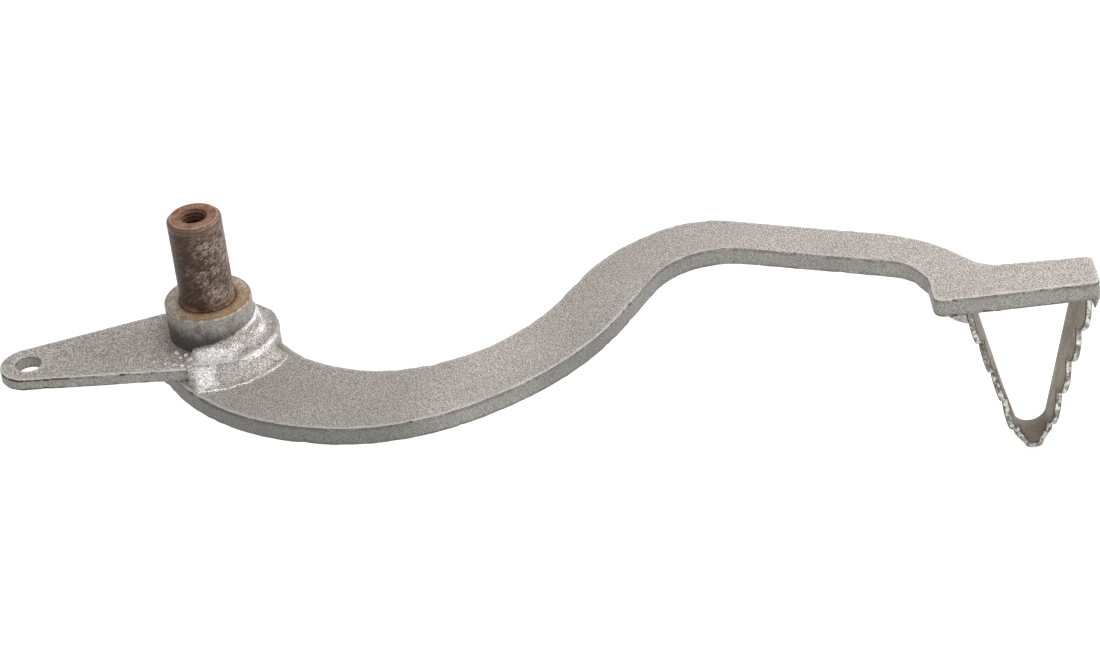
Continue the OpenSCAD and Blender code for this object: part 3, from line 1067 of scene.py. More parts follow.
@dataclass
class Plate:
    """A plate with rounded, nicked edges and faces that aren't quite flat."""

    node: str
    name: str
    seed: int = 3
    step: float = 0.85
    fill_step: float = 1.7
    fill_row: float = 0.866
    fill_jitter: float = 0.18
    fill_gap: float = 0.62
    merge_gap: float = 1e-6
    edge_r: float = 0.5
    hole_edge_r: float = 0.2
    hole_rim: float = 60.0
    lower_share: float = 0.8
    edge_limits: tuple[float, float] = (0.4, 2.3)
    edge_steps: int = 4
    side_rows: int = 4
    border: float = 0.9
    wander: float = 0.45
    upper_wander: Wave = (0.35, 11.0)
    lower_wander: Wave = (0.35, 23.0)
    nicks: int = 40
    nicked_run: float = 700.0
    least_nicks: int = 2
    nick_width: tuple[float, float] = (0.6, 1.8)
    nick_depth: tuple[float, float] = (0.1, 0.5)
    rough: Wave = (0.9, 41.0)
    rough_depth: float = 0.05
    hollow: Wave = (0.55, 70.0)
    hollow_depth: float = 0.09
    waviness: float = 0.05
    waves: Wave = (0.07, 5.0)
    sharp: float = 50.0

    def profile(self) -> list[tuple[float, float, float, float, float]]:
        """Section of a rounded edge, from the face's inside out to the side.

        Returns:
            Rows of inset in edge radii, extra inset, distance from the face in edge radii, edge mark
            and side mark.
        """
        rows = [(1.0, self.border, 0.0, 0.0, 0.0), (1.0, 0.0, 0.0, 0.5, 0.0)]
        for k in range(1, self.edge_steps + 1):
            angle = math.pi / 2 * k / self.edge_steps
            rows.append((1 - math.sin(angle), 0.0, 1 - math.cos(angle), 1.0, k / self.edge_steps))
        return rows

    def build(self, material: bpy.types.Material) -> bpy.types.Object:
        """Build the plate from its packed outline and dress it.

        Args:
            material: Its finish.

        Returns:
            The object.
        """
        low, high = node_box(self.node)
        levels = {True: high[2], False: low[2]}
        part = Part(self.name)
        rng = random.Random(self.seed)
        rims: dict[bool, list[tuple[np.ndarray, np.ndarray]]] = {True: [], False: []}
        for loop in outline(self.node, high[2]):
            self.add_edge(part, resampled(loop, self.step), levels, rng, rims)
        for upper in (True, False):
            self.add_face(part, rims[upper], levels[upper], upper, rng)
        return part.build([self.node], "painted_plate", material, self.sharp)

    def rounding(self, loop: np.ndarray, upper: bool, rng: random.Random) -> np.ndarray:
        """Radius of a rounded edge, which wanders and has nicks.

        Args:
            loop: Points of the outline.
            upper: True for the edge of the upper face.
            rng: Source of the nicks.

        Returns:
            The radius at each point.
        """
        count = len(loop)
        size = self.edge_r if count * self.step > self.hole_rim else self.hole_edge_r
        radius = np.full(count, size if upper else size * self.lower_share)
        wave = self.upper_wander if upper else self.lower_wander
        radius *= 1 + self.wander * ripple(grounded(loop), *wave)
        for _ in range(max(self.least_nicks, int(self.nicks * count * self.step / self.nicked_run))):
            at = rng.randrange(count)
            width, depth = rng.uniform(*self.nick_width), rng.uniform(*self.nick_depth)
            gap = np.abs((np.arange(count) - at + count / 2) % count - count / 2) * self.step
            radius += depth * np.exp(-(gap / width) ** 2)
        return np.clip(radius, size * self.edge_limits[0], size * self.edge_limits[1])

    def add_edge(self, part: Part, loop: np.ndarray, levels: dict[bool, float],
                 rng: random.Random, rims: dict) -> None:
        """Add the band of faces round one loop of the outline, nicks and all.

        Args:
            part: Where it goes.
            loop: Points of the outline.
            levels: Height of the upper face, under True, and of the lower one, under False.
            rng: Source of the nicks.
            rims: For each face, the places and numbers of the points round it, added to here.
        """
        count, normal = len(loop), outward(loop)
        radius = {upper: self.rounding(loop, upper, rng) for upper in (True, False)}
        rough = np.abs(ripple(grounded(loop), *self.rough)) * self.rough_depth
        corners: dict[bool, list] = {True: [], False: []}
        for upper, sign in ((True, -1.0), (False, 1.0)):
            for share, extra, drop, edge_mark, side_mark in self.profile():
                inset = radius[upper] * share + extra + rough * side_mark
                xy = loop - normal * inset[:, None]
                height = levels[upper] + sign * drop * radius[upper]
                if drop == 0.0:
                    height = height + sign * self.sag(xy)
                corners[upper].append((np.column_stack([xy, height]), edge_mark, side_mark))
        wall = []
        first, last = levels[True] - radius[True], levels[False] + radius[False]
        for k in range(1, self.side_rows + 1):
            height = first + (last - first) * (k / (self.side_rows + 1))
            place = np.column_stack([loop, height])
            inset = np.abs(ripple(place, *self.hollow)) * self.hollow_depth + rough
            wall.append((np.column_stack([loop - normal * inset[:, None], height]), 0.0, 1.0))
        rows = corners[True] + wall + corners[False][::-1]
        for upper, row in ((True, 0), (False, len(rows) - 1)):
            rims[upper].append((rows[row][0][:, :2], part.count + row * count + np.arange(count)))
        part.add(np.array([points for points, _, _ in rows]), quads(len(rows), count, flipped=True),
                 edge=np.repeat([edge for _, edge, _ in rows], count),
                 side=np.repeat([side for _, _, side in rows], count))

    def sag(self, xy: np.ndarray) -> np.ndarray:
        """How far the face lies below flat at each point, never above it."""
        return self.waviness * (0.5 - 0.5 * np.clip(ripple(grounded(xy), *self.waves), -1, 1))

    def filling(self, rim: np.ndarray, loops: Sequence[np.ndarray],
                rng: random.Random) -> np.ndarray:
        """Points of a jittered triangular grid inside a face.

        Args:
            rim: Points round the face.
            loops: The same points, loop by loop.
            rng: Source of the jitter.

        Returns:
            The points that lie inside and not too near the rim.
        """
        low, high = rim.min(0), rim.max(0)
        rows = np.arange(low[1], high[1], self.fill_step * self.fill_row)
        grid = np.array([(x + (k % 2) * self.fill_step / 2, y) for k, y in enumerate(rows)
                         for x in np.arange(low[0], high[0], self.fill_step)])
        jitter = np.array([[rng.uniform(-1, 1), rng.uniform(-1, 1)] for _ in grid])
        grid = grid + jitter * self.fill_step * self.fill_jitter
        grid = grid[inside(grid, loops)]
        near = np.min([np.hypot(grid[:, 0] - x, grid[:, 1] - y) for x, y in rim], axis=0)
        return grid[near > self.fill_step * self.fill_gap]

    def add_face(self, part: Part, rims: list[tuple[np.ndarray, np.ndarray]], level: float,
                 upper: bool, rng: random.Random) -> None:
        """Fill one flat face inside its edge band with small triangles.

        Args:
            part: Where it goes.
            rims: Places and numbers of the points round the face, loop by loop.
            level: Its height.
            upper: True for the upper face.
            rng: Source of the jitter.
        """
        loops = [xy for xy, _ in rims]
        rim, rim_ids = np.vstack(loops), np.concatenate([ids for _, ids in rims])
        grid = self.filling(rim, loops, rng)
        edges, start = [], 0
        for loop in loops:
            edges += [(start + i, start + (i + 1) % len(loop)) for i in range(len(loop))]
            start += len(loop)
        points = [Vector(p) for p in np.vstack([rim, grid]).tolist()]
        made = delaunay_2d_cdt(points, edges, [], 0, self.merge_gap)
        places = np.array([tuple(p) for p in made[0]])
        keep = inside(np.array([places[list(face)].mean(0) for face in made[2]]), loops)
        offset = part.count - len(rim)
        height = level + (-1.0 if upper else 1.0) * self.sag(grid)
        part.add(np.column_stack([grid, height]), [], edge=np.zeros(len(grid)),
                 side=np.zeros(len(grid)))
        source = [origins[0] for origins in made[3]]
        for face, kept in zip(made[2], keep):
            if kept:
                corners = [source[i] for i in face]
                corners = corners if upper else corners[::-1]
                part.faces.append(tuple(int(rim_ids[i]) if i < len(rim) else int(i) + offset
                                        for i in corners))


@dataclass
class Turned:
    """A turned piece whose section is given as radius and height."""

    section: list[tuple[float, float]]
    step: float = 0.45
    columns: int = 224
    pits: Wave = (0.8, 19.0)
    pits_from: float = 0.35
    pitting: float = 0.05
    closed: bool = True

    def stations(self) -> np.ndarray:
        """Divide the section's long runs into short steps.

        Returns:
            Radius and height of each ring.
        """
        ends = self.section + (self.section[:1] if self.closed else [])
        rows: list[tuple[float, float]] = []
        for (r0, z0), (r1, z1) in zip(ends, ends[1:]):
            count = max(1, int(math.hypot(r1 - r0, z1 - z0) / self.step))
            rows += [(r0 + (r1 - r0) * k / count, z0 + (z1 - z0) * k / count) for k in range(count)]
        if not self.closed:
            rows.append(ends[-1])
        return np.array(rows)

    def rings(self) -> np.ndarray:
        """Turn the section and pit the surface inwards.

        Returns:
            Points by ring, then round the ring.
        """
        rows = self.stations()
        turn = full_turn(self.columns)
        circle = np.stack([np.cos(turn), np.sin(turn)], -1)
        points = np.concatenate([rows[:, None, :1] * circle[None],
                                 np.repeat(rows[:, None, 1:], self.columns, 1)], -1)
        pits = np.clip(ripple(points, *self.pits) - self.pits_from, 0, 1) * self.pitting
        points[..., :2] *= 1 - (pits / np.maximum(rows[:, :1], 1.0))[..., None]
        return points


def quarter(centre: tuple[float, float], radius: float, start: float, end: float,
            steps: int = 5) -> list[tuple[float, float]]:
    """Points of an arc in a section.

    Args:
        centre: Radius and height of its centre.
        radius: Its own radius.
        start: First angle in degrees.
        end: Last angle in degrees.
        steps: Number of chords.

    Returns:
        The points, both ends included.
    """
    angles = [math.radians(start + (end - start) * k / steps) for k in range(steps + 1)]
    return [(centre[0] + radius * math.cos(a), centre[1] + radius * math.sin(a)) for a in angles]


@dataclass
class PivotBoss:
    """The boss that stands on the lug, with its edge rubbed round."""

    sizes: Sizes
    edge_r: float = 0.35
    mouth: float = 0.6
    pin_gap: float = 0.02
    sharp: float = 60.0

    def build(self) -> bpy.types.Object:
        """Turn the boss and dress it.

        Returns:
            The object.
        """
        r, bore, floor = self.sizes.boss_r, self.sizes.pin_r + self.pin_gap, self.sizes.lug_top
        section = [(bore, floor), (bore, -self.mouth), (bore + self.mouth, 0.0)]
        section += quarter((r - self.edge_r, -self.edge_r), self.edge_r, 90, 0)
        section += [(r, floor)]
        part = Part("boss_ring")
        part.add_rings(Turned(section).rings(), closed=True)
        finish = BossSteel(self.sizes.pin_r, r)
        return part.build(["pivot_boss"], "boss_steel", finish.material(), self.sharp)


@dataclass
class PivotPin:
    """The pivot pin, with a real thread cut into its free end."""

    sizes: Sizes
    foot_hole: float = 0.4
    foot_chamfer: float = 0.3
    chamfer: float = 0.9
    chamfer_round: float = 0.15
    chamfer_side: float = 0.05
    chamfer_end: float = 0.1
    relief_start: float = 0.2
    relief_w: float = 1.0
    relief_depth: float = 0.3
    pitting: float = 0.06
    core_r: float = 3.4
    crest_r: float = 4.02
    mouth_r: float = 4.1
    pitch: float = 1.25
    groove_depth: float = 1.35
    groove_slope: float = 3.1
    run_out: float = 1.5
    thread_len: float = 22.0
    drill_len: float = 24.0
    drill_slope: float = 0.6
    row: float = 0.1
    deep_row: float = 0.2
    deep_from: float = 9.0
    sharp: float = 42.0

    def build(self) -> bpy.types.Object:
        """Turn the pin, cut its thread and dress it.

        Returns:
            The object.
        """
        r, top, foot = self.sizes.pin_r, self.sizes.pin_top, self.sizes.pin_foot
        c, soft = self.chamfer, self.chamfer_round
        groove = r - self.relief_depth
        section = [(self.foot_hole, foot), (r - self.foot_chamfer, foot),
                   (r, foot + self.foot_chamfer), (r, 0.0), (groove, self.relief_start),
                   (groove, self.relief_w), (r, self.relief_w + self.relief_depth),
                   (r, top - c - soft), (r - self.chamfer_side, top - c + self.chamfer_side),
                   (r - c + self.chamfer_end, top - self.chamfer_end), (r - c - soft, top),
                   (self.mouth_r, top)]
        body = Turned(section, closed=False, pitting=self.pitting).rings()
        part = Part("pivot_pin_bar")
        part.add_rings(body)
        # The end face's cap goes, because the thread starts at its ring
        part.faces.pop()
        self.add_thread(part, body.shape[1])
        finish = WornPin(r, top, self.mouth_r)
        return part.build(["pivot_pin"], "worn_pin", finish.material(), self.sharp)

    def radius(self, depth: np.ndarray, turn: np.ndarray) -> np.ndarray:
        """Radius of the threaded hole.

        Args:
            depth: Depths below the hole's mouth.
            turn: Angles round it, in radians.

        Returns:
            The radius for each depth and angle.
        """
        phase = (depth / self.pitch + turn / (2 * math.pi)) % 1.0
        groove = np.clip(self.groove_depth - self.groove_slope * np.abs(phase - 0.5), 0, 1)
        fade = np.clip((self.thread_len - depth) / self.run_out, 0, 1)
        thread = self.core_r + (self.crest_r - self.core_r) * groove * fade
        return np.maximum(thread, self.mouth_r - depth)

    def add_thread(self, part: Part, columns: int) -> None:
        """Add the hole's wall, from the last ring of the end face down to its drill point.

        Args:
            part: The pin so far, whose last points are that ring.
            columns: Points in a ring.
        """
        top = self.sizes.pin_top
        depth = np.arange(self.row, self.drill_len, self.row)
        deep = np.arange(self.deep_from, self.drill_len, self.deep_row)
        depth = np.concatenate([depth[depth < self.deep_from], deep])
        turn = full_turn(columns)
        radius = self.radius(depth[:, None], turn[None])
        points = np.stack([radius * np.cos(turn), radius * np.sin(turn),
                           np.repeat((top - depth)[:, None], columns, 1)], -1)
        point = [[0.0, 0.0, top - self.drill_len - self.core_r * self.drill_slope]]
        last, tip = len(depth) * columns, (len(depth) + 1) * columns
        faces = quads(len(depth) + 1, columns)
        faces += [(last + j, last + (j + 1) % columns, tip) for j in range(columns)]
        faces = [tuple(i - columns for i in face) for face in faces]
        part.add(np.vstack([points.reshape(-1, 3), point]), faces)


# Toe loop


class Stretch(Enum):
    """The three stretches of the loop's strip."""

    LEFT_LEG = "left leg"
    BEND = "bend"
    RIGHT_LEG = "right leg"


@dataclass(frozen=True)
class Vee:
    """Path of one edge of the strip: two legs that meet in a bend."""

    half_mouth: float
    bend_r: float
    depth: float

    def lean(self) -> float:
        """Work out how far the legs lean outwards.

        Returns:
            Angle of a leg from the vertical, in radians.
        """
        run = self.depth - self.bend_r
        slant = math.hypot(self.half_mouth, run)
        return math.atan2(self.half_mouth, run) - math.asin(self.bend_r / slant)

    def leg(self) -> float:
        """Length of a leg."""
        return math.sqrt(self.half_mouth ** 2 + (self.depth - self.bend_r) ** 2 - self.bend_r ** 2)

    def frame(self, stretch: Stretch, share: float) -> tuple[np.ndarray, np.ndarray]:
        """Inside point of the path and the direction of the strip's thickness there.

        Args:
            stretch: Which part of the path.
            share: How far along it, a leg's share being counted from the arm.

        Returns:
            The point and the unit vector, in the plane of the path.
        """
        lean = self.lean()
        centre = np.array([0.0, self.bend_r - self.depth])
        if stretch is Stretch.BEND:
            turn = math.pi + lean + (math.pi - 2 * lean) * share
            way = np.array([math.cos(turn), math.sin(turn)])
            return centre + self.bend_r * way, way
        out = np.array([-math.cos(lean), -math.sin(lean)])
        top = np.array([-self.half_mouth, 0.0])
        point = top + (centre + self.bend_r * out - top) * share
        way = np.array([-1 / math.cos(lean), 0.0]) if share == 0 else out
        side = 1.0 if stretch is Stretch.LEFT_LEG else -1.0
        return point * (side, 1.0), way * (side, 1.0)


@dataclass
class ToeLoop:
    """The serrated strip bent to a V under the toe block, with worn and uneven teeth."""

    sizes: Sizes
    plain: Vee = Vee(15.0, 5.2, 48.0)
    toothed: Vee = Vee(17.0, 3.2, 47.1)
    lean: float = 1.0
    lean_at_bend: float = 0.5
    middle: float = 235.9
    thickness: float = 2.0
    width: float = 11.2
    tooth_h: float = 2.2
    tooth_flare: float = 0.6
    tooth_root: float = 2.5
    pitch: float = 11.0
    crest: float = 0.78
    drop_left: float = 0.25
    neck_dip: float = 0.5
    tip_start: float = 0.27
    tip_full: float = 0.33
    corner: float = 0.72
    back_corner: float = 0.35
    corner_steps: int = 5
    flat_shares: tuple[float, ...] = (0.0, 0.25, 0.5, 0.75)
    root_shares: tuple[float, ...] = (0.0, 0.3, 0.6)
    crown_shares: tuple[float, ...] = (0.4, 0.7)
    back_turns: tuple[float, ...] = (0.78, 1.57)
    back_cut: float = 0.29
    flare_power: float = 1.5
    rim_width: float = 1.1
    start_dip: float = 0.5
    left_dip: float = 0.1
    dip_hold: float = 12.0
    last_flare: float = 0.5
    station_step: float = 0.03
    tooth_start: float = 0.004
    tooth_end: float = 0.992
    bend_steps: int = 64
    dents: Wave = (0.45, 3.0)
    dents_from: float = -0.3
    dents_most: float = 1.4
    dents_depth: float = 0.22
    chips: Wave = (1.1, 8.0)
    chips_depth: float = 0.16
    sway: Wave = (0.5, 15.0)
    sway_width: float = 0.10
    sharp: float = 48.0

    def tooth(self, u: float) -> float:
        """Height of a tooth at a share of its pitch.

        Args:
            u: The share, from 0 to 1.

        Returns:
            The height, 1 at the crest.
        """
        if u < self.crest:
            return math.sin(math.pi / 2 * u / self.crest)
        fall = (u - self.crest) / (1 - self.crest)
        return self.drop_left + (1 - self.drop_left) * math.sqrt(max(0.0, 1 - fall * fall))

    def flare(self, height: float, share: float, dip: float) -> float:
        """How far the edge is bent outwards at a tooth's height, inwards by the dip at its start."""
        held = min(1.0, min(share, 1.0 - share) * self.dip_hold)
        return self.tooth_flare * height - dip * (1.0 - height) * held

    def tip(self, share: float) -> float:
        """Height of the bend's own tooth, with its hollow necks.

        Args:
            share: How far round the bend.

        Returns:
            The height, 1 along the tooth and below 0 in its necks.
        """
        near = min(share, 1 - share)
        if near < self.tip_start:
            return -self.neck_dip * math.sin(math.pi * near / self.tip_start)
        k = min(1.0, (near - self.tip_start) / (self.tip_full - self.tip_start))
        return k * k * (3 - 2 * k)

    def stations(self) -> list[tuple[Stretch, float, float, float]]:
        """Place the rings of the strip, close together where a tooth ends and the next starts.

        Returns:
            Stretch, share, tooth height and flare of each ring.
        """
        length = self.toothed.leg()
        teeth, steps = int(length / self.pitch), int(1 / self.station_step)
        shares = [self.tooth_start] + [k / steps for k in range(1, steps)] + [self.tooth_end, 1.0]
        leg = [(0.0, 0.0, 0)]
        leg += [((i + u) * self.pitch / length, self.tooth(u), i) for i in range(teeth) for u in shares]
        leg += [((teeth + self.tooth_start) * self.pitch / length, 0.0, teeth)]
        rows = []
        for share, height, tooth in leg:
            extra = self.last_flare * height if tooth == teeth - 1 else 0.0
            edge = self.flare(height, share, self.left_dip)
            rows.append((Stretch.LEFT_LEG, share, height, edge + extra))
        bend = [k / self.bend_steps for k in range(self.bend_steps + 1)]
        rows += [(Stretch.BEND, share, self.tip(share), 0.0) for share in bend]
        rows += [(Stretch.RIGHT_LEG, share, height, self.flare(height, share, self.start_dip))
                 for share, height, _ in reversed(leg)]
        return rows

    def section(self, width: float, out: float) -> tuple[np.ndarray, np.ndarray]:
        """Rounded section of the strip.

        Args:
            width: Width at this station.
            out: How far the toothed edge is bent outwards.

        Returns:
            Across and through of each point, and its rim mark, which is 1 on the toothed edge.
        """
        t, c, d = self.thickness, self.corner, self.back_corner
        start, root, end = d, width - self.tooth_root, width - c
        turns = [math.pi / 2 * k / self.corner_steps for k in range(self.corner_steps + 1)]
        points = [(start + (root - start) * k, 0.0) for k in self.flat_shares]
        points += [(root + (end - root) * k, 0.0) for k in self.root_shares]
        points += [(end + c * math.sin(a), c - c * math.cos(a)) for a in turns]
        points += [(width, t / 2)]
        points += [(end + c * math.cos(a), t - c + c * math.sin(a)) for a in turns]
        points += [(end - (end - root) * k, t) for k in self.crown_shares]
        points += [(root - (root - start) * k, t) for k in (*self.flat_shares, 1.0)]
        points += [(start - d * math.sin(a), t - d + d * math.cos(a)) for a in self.back_turns]
        points += [(0.0, d), (d * self.back_cut, d * self.back_cut)]
        table = np.array(points)
        bend = np.clip((table[:, 0] - root) / (self.tooth_root - c), 0, 1) ** self.flare_power
        table[:, 1] += out * bend
        return table, np.clip(1 - (width - table[:, 0]) / self.rim_width, 0, 1)

    def build(self) -> bpy.types.Object:
        """Bend the strip, wear its teeth and dress it.

        Returns:
            The object.
        """
        low, high = node_box("toe_loop")
        rows, rims = [], []
        full = self.width + self.tooth_h
        for stretch, share, height, flare in self.stations():
            plain, way = self.plain.frame(stretch, share)
            toothed, toothed_way = self.toothed.frame(stretch, share)
            table, rim = self.section(self.width + self.tooth_h * height, flare)
            ring = []
            for across, through in table:
                k = across / full
                base = plain + (toothed - plain) * k
                tilt = self.lean * k * (base[1] / self.toothed.depth + self.lean_at_bend)
                spot = base + (way + (toothed_way - way) * k) * through
                ring.append((self.middle + spot[0] + tilt, high[1] - across,
                             self.sizes.arm_bottom + spot[1]))
            rows.append(ring)
            rims.append(rim)
        rings, marks = np.array(rows), np.array(rims)
        self.wear(rings, marks, low[1])
        part = Part("toe_loop_strip")
        part.add_rings(rings, rim=marks)
        return part.build(["toe_loop"], "toe_steel", ToeSteel().material(), self.sharp)

    def wear(self, rings: np.ndarray, rim: np.ndarray, tips: float) -> None:
        """Batter the toothed edge inwards, in place.

        Args:
            rings: Points of the strip, changed here.
            rim: Rim mark of each point.
            tips: Level of the teeth's tips, which nothing passes.
        """
        dents = np.clip(ripple(rings, *self.dents) - self.dents_from, 0, self.dents_most)
        chips = np.clip(ripple(rings, *self.chips), 0, 1)
        rings[..., 1] += (dents * self.dents_depth + chips * self.chips_depth) * rim * rim
        rings[..., 1] = np.maximum(rings[..., 1], tips)
        rings[..., 0] += ripple(rings, *self.sway) * self.sway_width * rim


# Welds


# Section of a bead from its toe to its top, as share of the foot and share of the rise
Section = tuple[tuple[float, float], ...]
FILLET: Section = ((1.0, -0.04), (0.97, 0.1), (0.8, 0.36), (0.56, 0.64), (0.32, 0.86), (0.1, 1.0),
                   (0.0, 1.04))
SHEET: Section = ((1.04, -0.1), (1.0, 0.13), (0.9, 0.19), (0.74, 0.12), (0.56, 0.17), (0.38, 0.38),
                  (0.24, 0.68), (0.15, 0.96), (0.06, 1.09), (-0.02, 1.04))
APRON: Section = ((1.0, -0.05), (0.99, 0.12), (0.9, 0.17), (0.7, 0.2), (0.5, 0.38), (0.32, 0.72),
                  (0.16, 1.06), (-0.04, 1.2), (-0.2, 1.1))

# A painted highlight patch of a bead: how far along, half its length, and its shares of the section
Patch = tuple[float, float, float, float]


@dataclass
class Bead:
    """Weld metal laid along a path, with a section that ripples and wanders."""

    path: np.ndarray
    out: np.ndarray
    up: np.ndarray
    foot: float | np.ndarray
    rise: float | np.ndarray
    section: Section = FILLET
    closed: bool = False
    taper: tuple[float, float] = (2.5, 2.5)
    end_size: tuple[float, float] = (0.5, 0.5)
    ripple_step: float = 1.7
    ripple_h: float = 0.05
    ripple_lag: float = 3.0
    ripple_stray: float = 1.5
    stray_wave: Wave = (0.12, 5.0)
    lumps: float = 0.3
    lump_waves: tuple[tuple[float, float, float], ...] = (
        (0.16, 0.0, 1.0), (0.38, 3.0, 0.5), (1.0, 6.0, 0.12))
    wander: float = 0.25
    wander_wave: Wave = (0.3, 9.0)
    edge_push: float = 0.12
    edge_slope: float = 5.0
    out_push: tuple[float, float] = (0.6, 0.1)
    up_push: float = 0.45
    seed: float = 1.0
    columns: int = 30
    root: float = 0.35
    # How the ridge mark paints highlight and shade, and the patches of painted highlight.
    ridge_span: float = 2.5
    ridge_share: float = 0.35
    patch_share: float = 0.85
    bright: tuple[Patch, ...] = ()

    def ends(self, travel: np.ndarray) -> np.ndarray:
        """Make the bead smaller towards its two ends.

        Args:
            travel: Distance along the bead of each station.

        Returns:
            Size of the section at each station.
        """
        size = np.ones(len(travel))
        if not self.closed:
            for gap, length, least in ((travel, self.taper[0], self.end_size[0]),
                                       (travel[-1] - travel, self.taper[1], self.end_size[1])):
                k = 1 - np.clip(gap / length, 0, 1)
                size *= least + (1 - least) * np.sqrt(1 - k * k)
        return size

    def shares(self, k: np.ndarray) -> np.ndarray:
        """Foot and rise shares of the section, spread evenly over its length and smoothed.

        Args:
            k: Shares of the section's length.

        Returns:
            Share of the foot and of the rise at each.
        """
        table = np.array(self.section)
        spread = np.concatenate([[0], np.cumsum(np.hypot(*np.diff(table, axis=0).T))])
        shares = np.stack([np.interp(k * spread[-1], spread, table[:, c]) for c in (0, 1)], 1)
        shares[1:-1] = (shares[:-2] + 2 * shares[1:-1] + shares[2:]) / 4
        return shares

    def push(self, place: np.ndarray, travel: np.ndarray, k: np.ndarray) -> np.ndarray:
        """Lumps and ripples that stand out of the section.

        Args:
            place: Points of the smooth bead.
            travel: Distance along the bead of each station.
            k: Share of the section's length of each column.

        Returns:
            Height at each point, in millimetres.
        """
        scale, shift = self.stray_wave
        lag = travel[:, None] - self.ripple_lag * np.sin(math.pi * k)[None]
        phase = lag + ripple(place, scale, self.seed + shift) * self.ripple_stray
        rough = sum(ripple(place, scale, self.seed + shift) * self.lumps * share
                    for scale, shift, share in self.lump_waves)
        push = rough + np.sin(2 * math.pi * phase / self.ripple_step) * self.ripple_h
        near = np.minimum(k + self.edge_push, 1 + self.edge_push - k)
        return push * np.minimum(1, near * self.edge_slope)[None]

    def ridge(self, push: np.ndarray, travel: np.ndarray, k: np.ndarray) -> np.ndarray:
        """Painted highlight on the ridges and painted shade in the hollows, with the patches of painted
        highlight.

        Args:
            push: Height of the lumps and ripples.
            travel: Distance along the bead of each station.
            k: Share of the section's length of each column.

        Returns:
            The painted light mark of each point.
        """
        ridge = np.clip(0.5 + push / (self.ridge_span * self.lumps), 0, 1) * self.ridge_share
        for at, length, low, high in self.bright:
            along = np.exp(-((travel - at) / length) ** 2)
            band = np.exp(-((k - (low + high) / 2) / ((high - low) / 2)) ** 4)
            ridge = ridge + self.patch_share * along[:, None] * band[None]
        return ridge

    def add_to(self, part: Part) -> None:
        """Add the bead's skin to a part.

        Args:
            part: Where it goes.
        """
        steps = np.linalg.norm(np.diff(self.path, axis=0), axis=1)
        travel = np.concatenate([[0], np.cumsum(steps)])
        size = self.ends(travel)[:, None, None]
        k = np.linspace(0, 1, self.columns)
        shares = self.shares(k)
        foot = np.broadcast_to(self.foot, travel.shape)[:, None, None]
        rise = np.broadcast_to(self.rise, travel.shape)[:, None, None]
        across = self.out[:, None] * (foot * shares[None, :, :1] * size)
        height = self.up[:, None] * (rise * shares[None, :, 1:] * size)
        place = self.path[:, None] + across + height
        push = self.push(place, travel, k)
        scale, shift = self.wander_wave
        stray = ripple(self.path, scale, self.seed + shift)[:, None] * self.wander * (1 - k)[None]
        lean = np.clip(shares[:, 0], 0, 1)
        slope, least = self.out_push
        way = self.out[:, None] * (lean * slope + least)[None, :, None] \
            + self.up[:, None] * (1.0 - lean * self.up_push)[None, :, None]
        skin = place + (way * push[..., None] + self.out[:, None] * stray[..., None]) * size
        back = self.path - self.out * self.root - self.up * self.root
        rings = np.concatenate([skin, back[:, None]], 1)
        ridge = self.ridge(push, travel, k)
        ridge = np.concatenate([ridge, np.zeros((len(ridge), 1))], 1)
        part.add_rings(rings, closed=self.closed, ridge=ridge)


def arc_path(centre: tuple[float, float], radius: float, level: float, start: float, sweep: float,
             up: float = 1.0, step: float = 0.22) -> dict[str, np.ndarray]:
    """Path of a bead round a circle.

    Args:
        centre: Where the circle is.
        radius: Its radius.
        level: Its height.
        start: First angle in degrees.
        sweep: Degrees from first to last.
        up: 1 for a bead on top and -1 for one below.
        step: Distance between stations.

    Returns:
        The path and the outward and upward directions, by their names in a Bead.
    """
    count = int(abs(math.radians(sweep)) * radius / step)
    turn = np.radians(start + sweep * np.linspace(0, 1, count, endpoint=abs(sweep) < 360))
    out = np.stack([np.cos(turn), np.sin(turn), np.zeros(count)], -1)
    path = out * radius + np.array([*centre, level])
    return {"path": path, "out": out, "up": np.tile([0.0, 0.0, up], (count, 1))}


def line_path(start: Sequence[float], end: Sequence[float], out: Sequence[float],
              up: Sequence[float], step: float = 0.22) -> dict[str, np.ndarray]:
    """Path of a straight bead.

    Args:
        start: First point.
        end: Last point.
        out: Outward direction.
        up: Upward direction.
        step: Distance between stations.

    Returns:
        The path and the outward and upward directions, by their names in a Bead.
    """
    start, end = np.array(start, float), np.array(end, float)
    count = max(4, int(np.linalg.norm(end - start) / step))
    path = start + (end - start) * np.linspace(0, 1, count)[:, None]
    return {"path": path, "out": np.tile(out, (count, 1)).astype(float),
            "up": np.tile(up, (count, 1)).astype(float)}


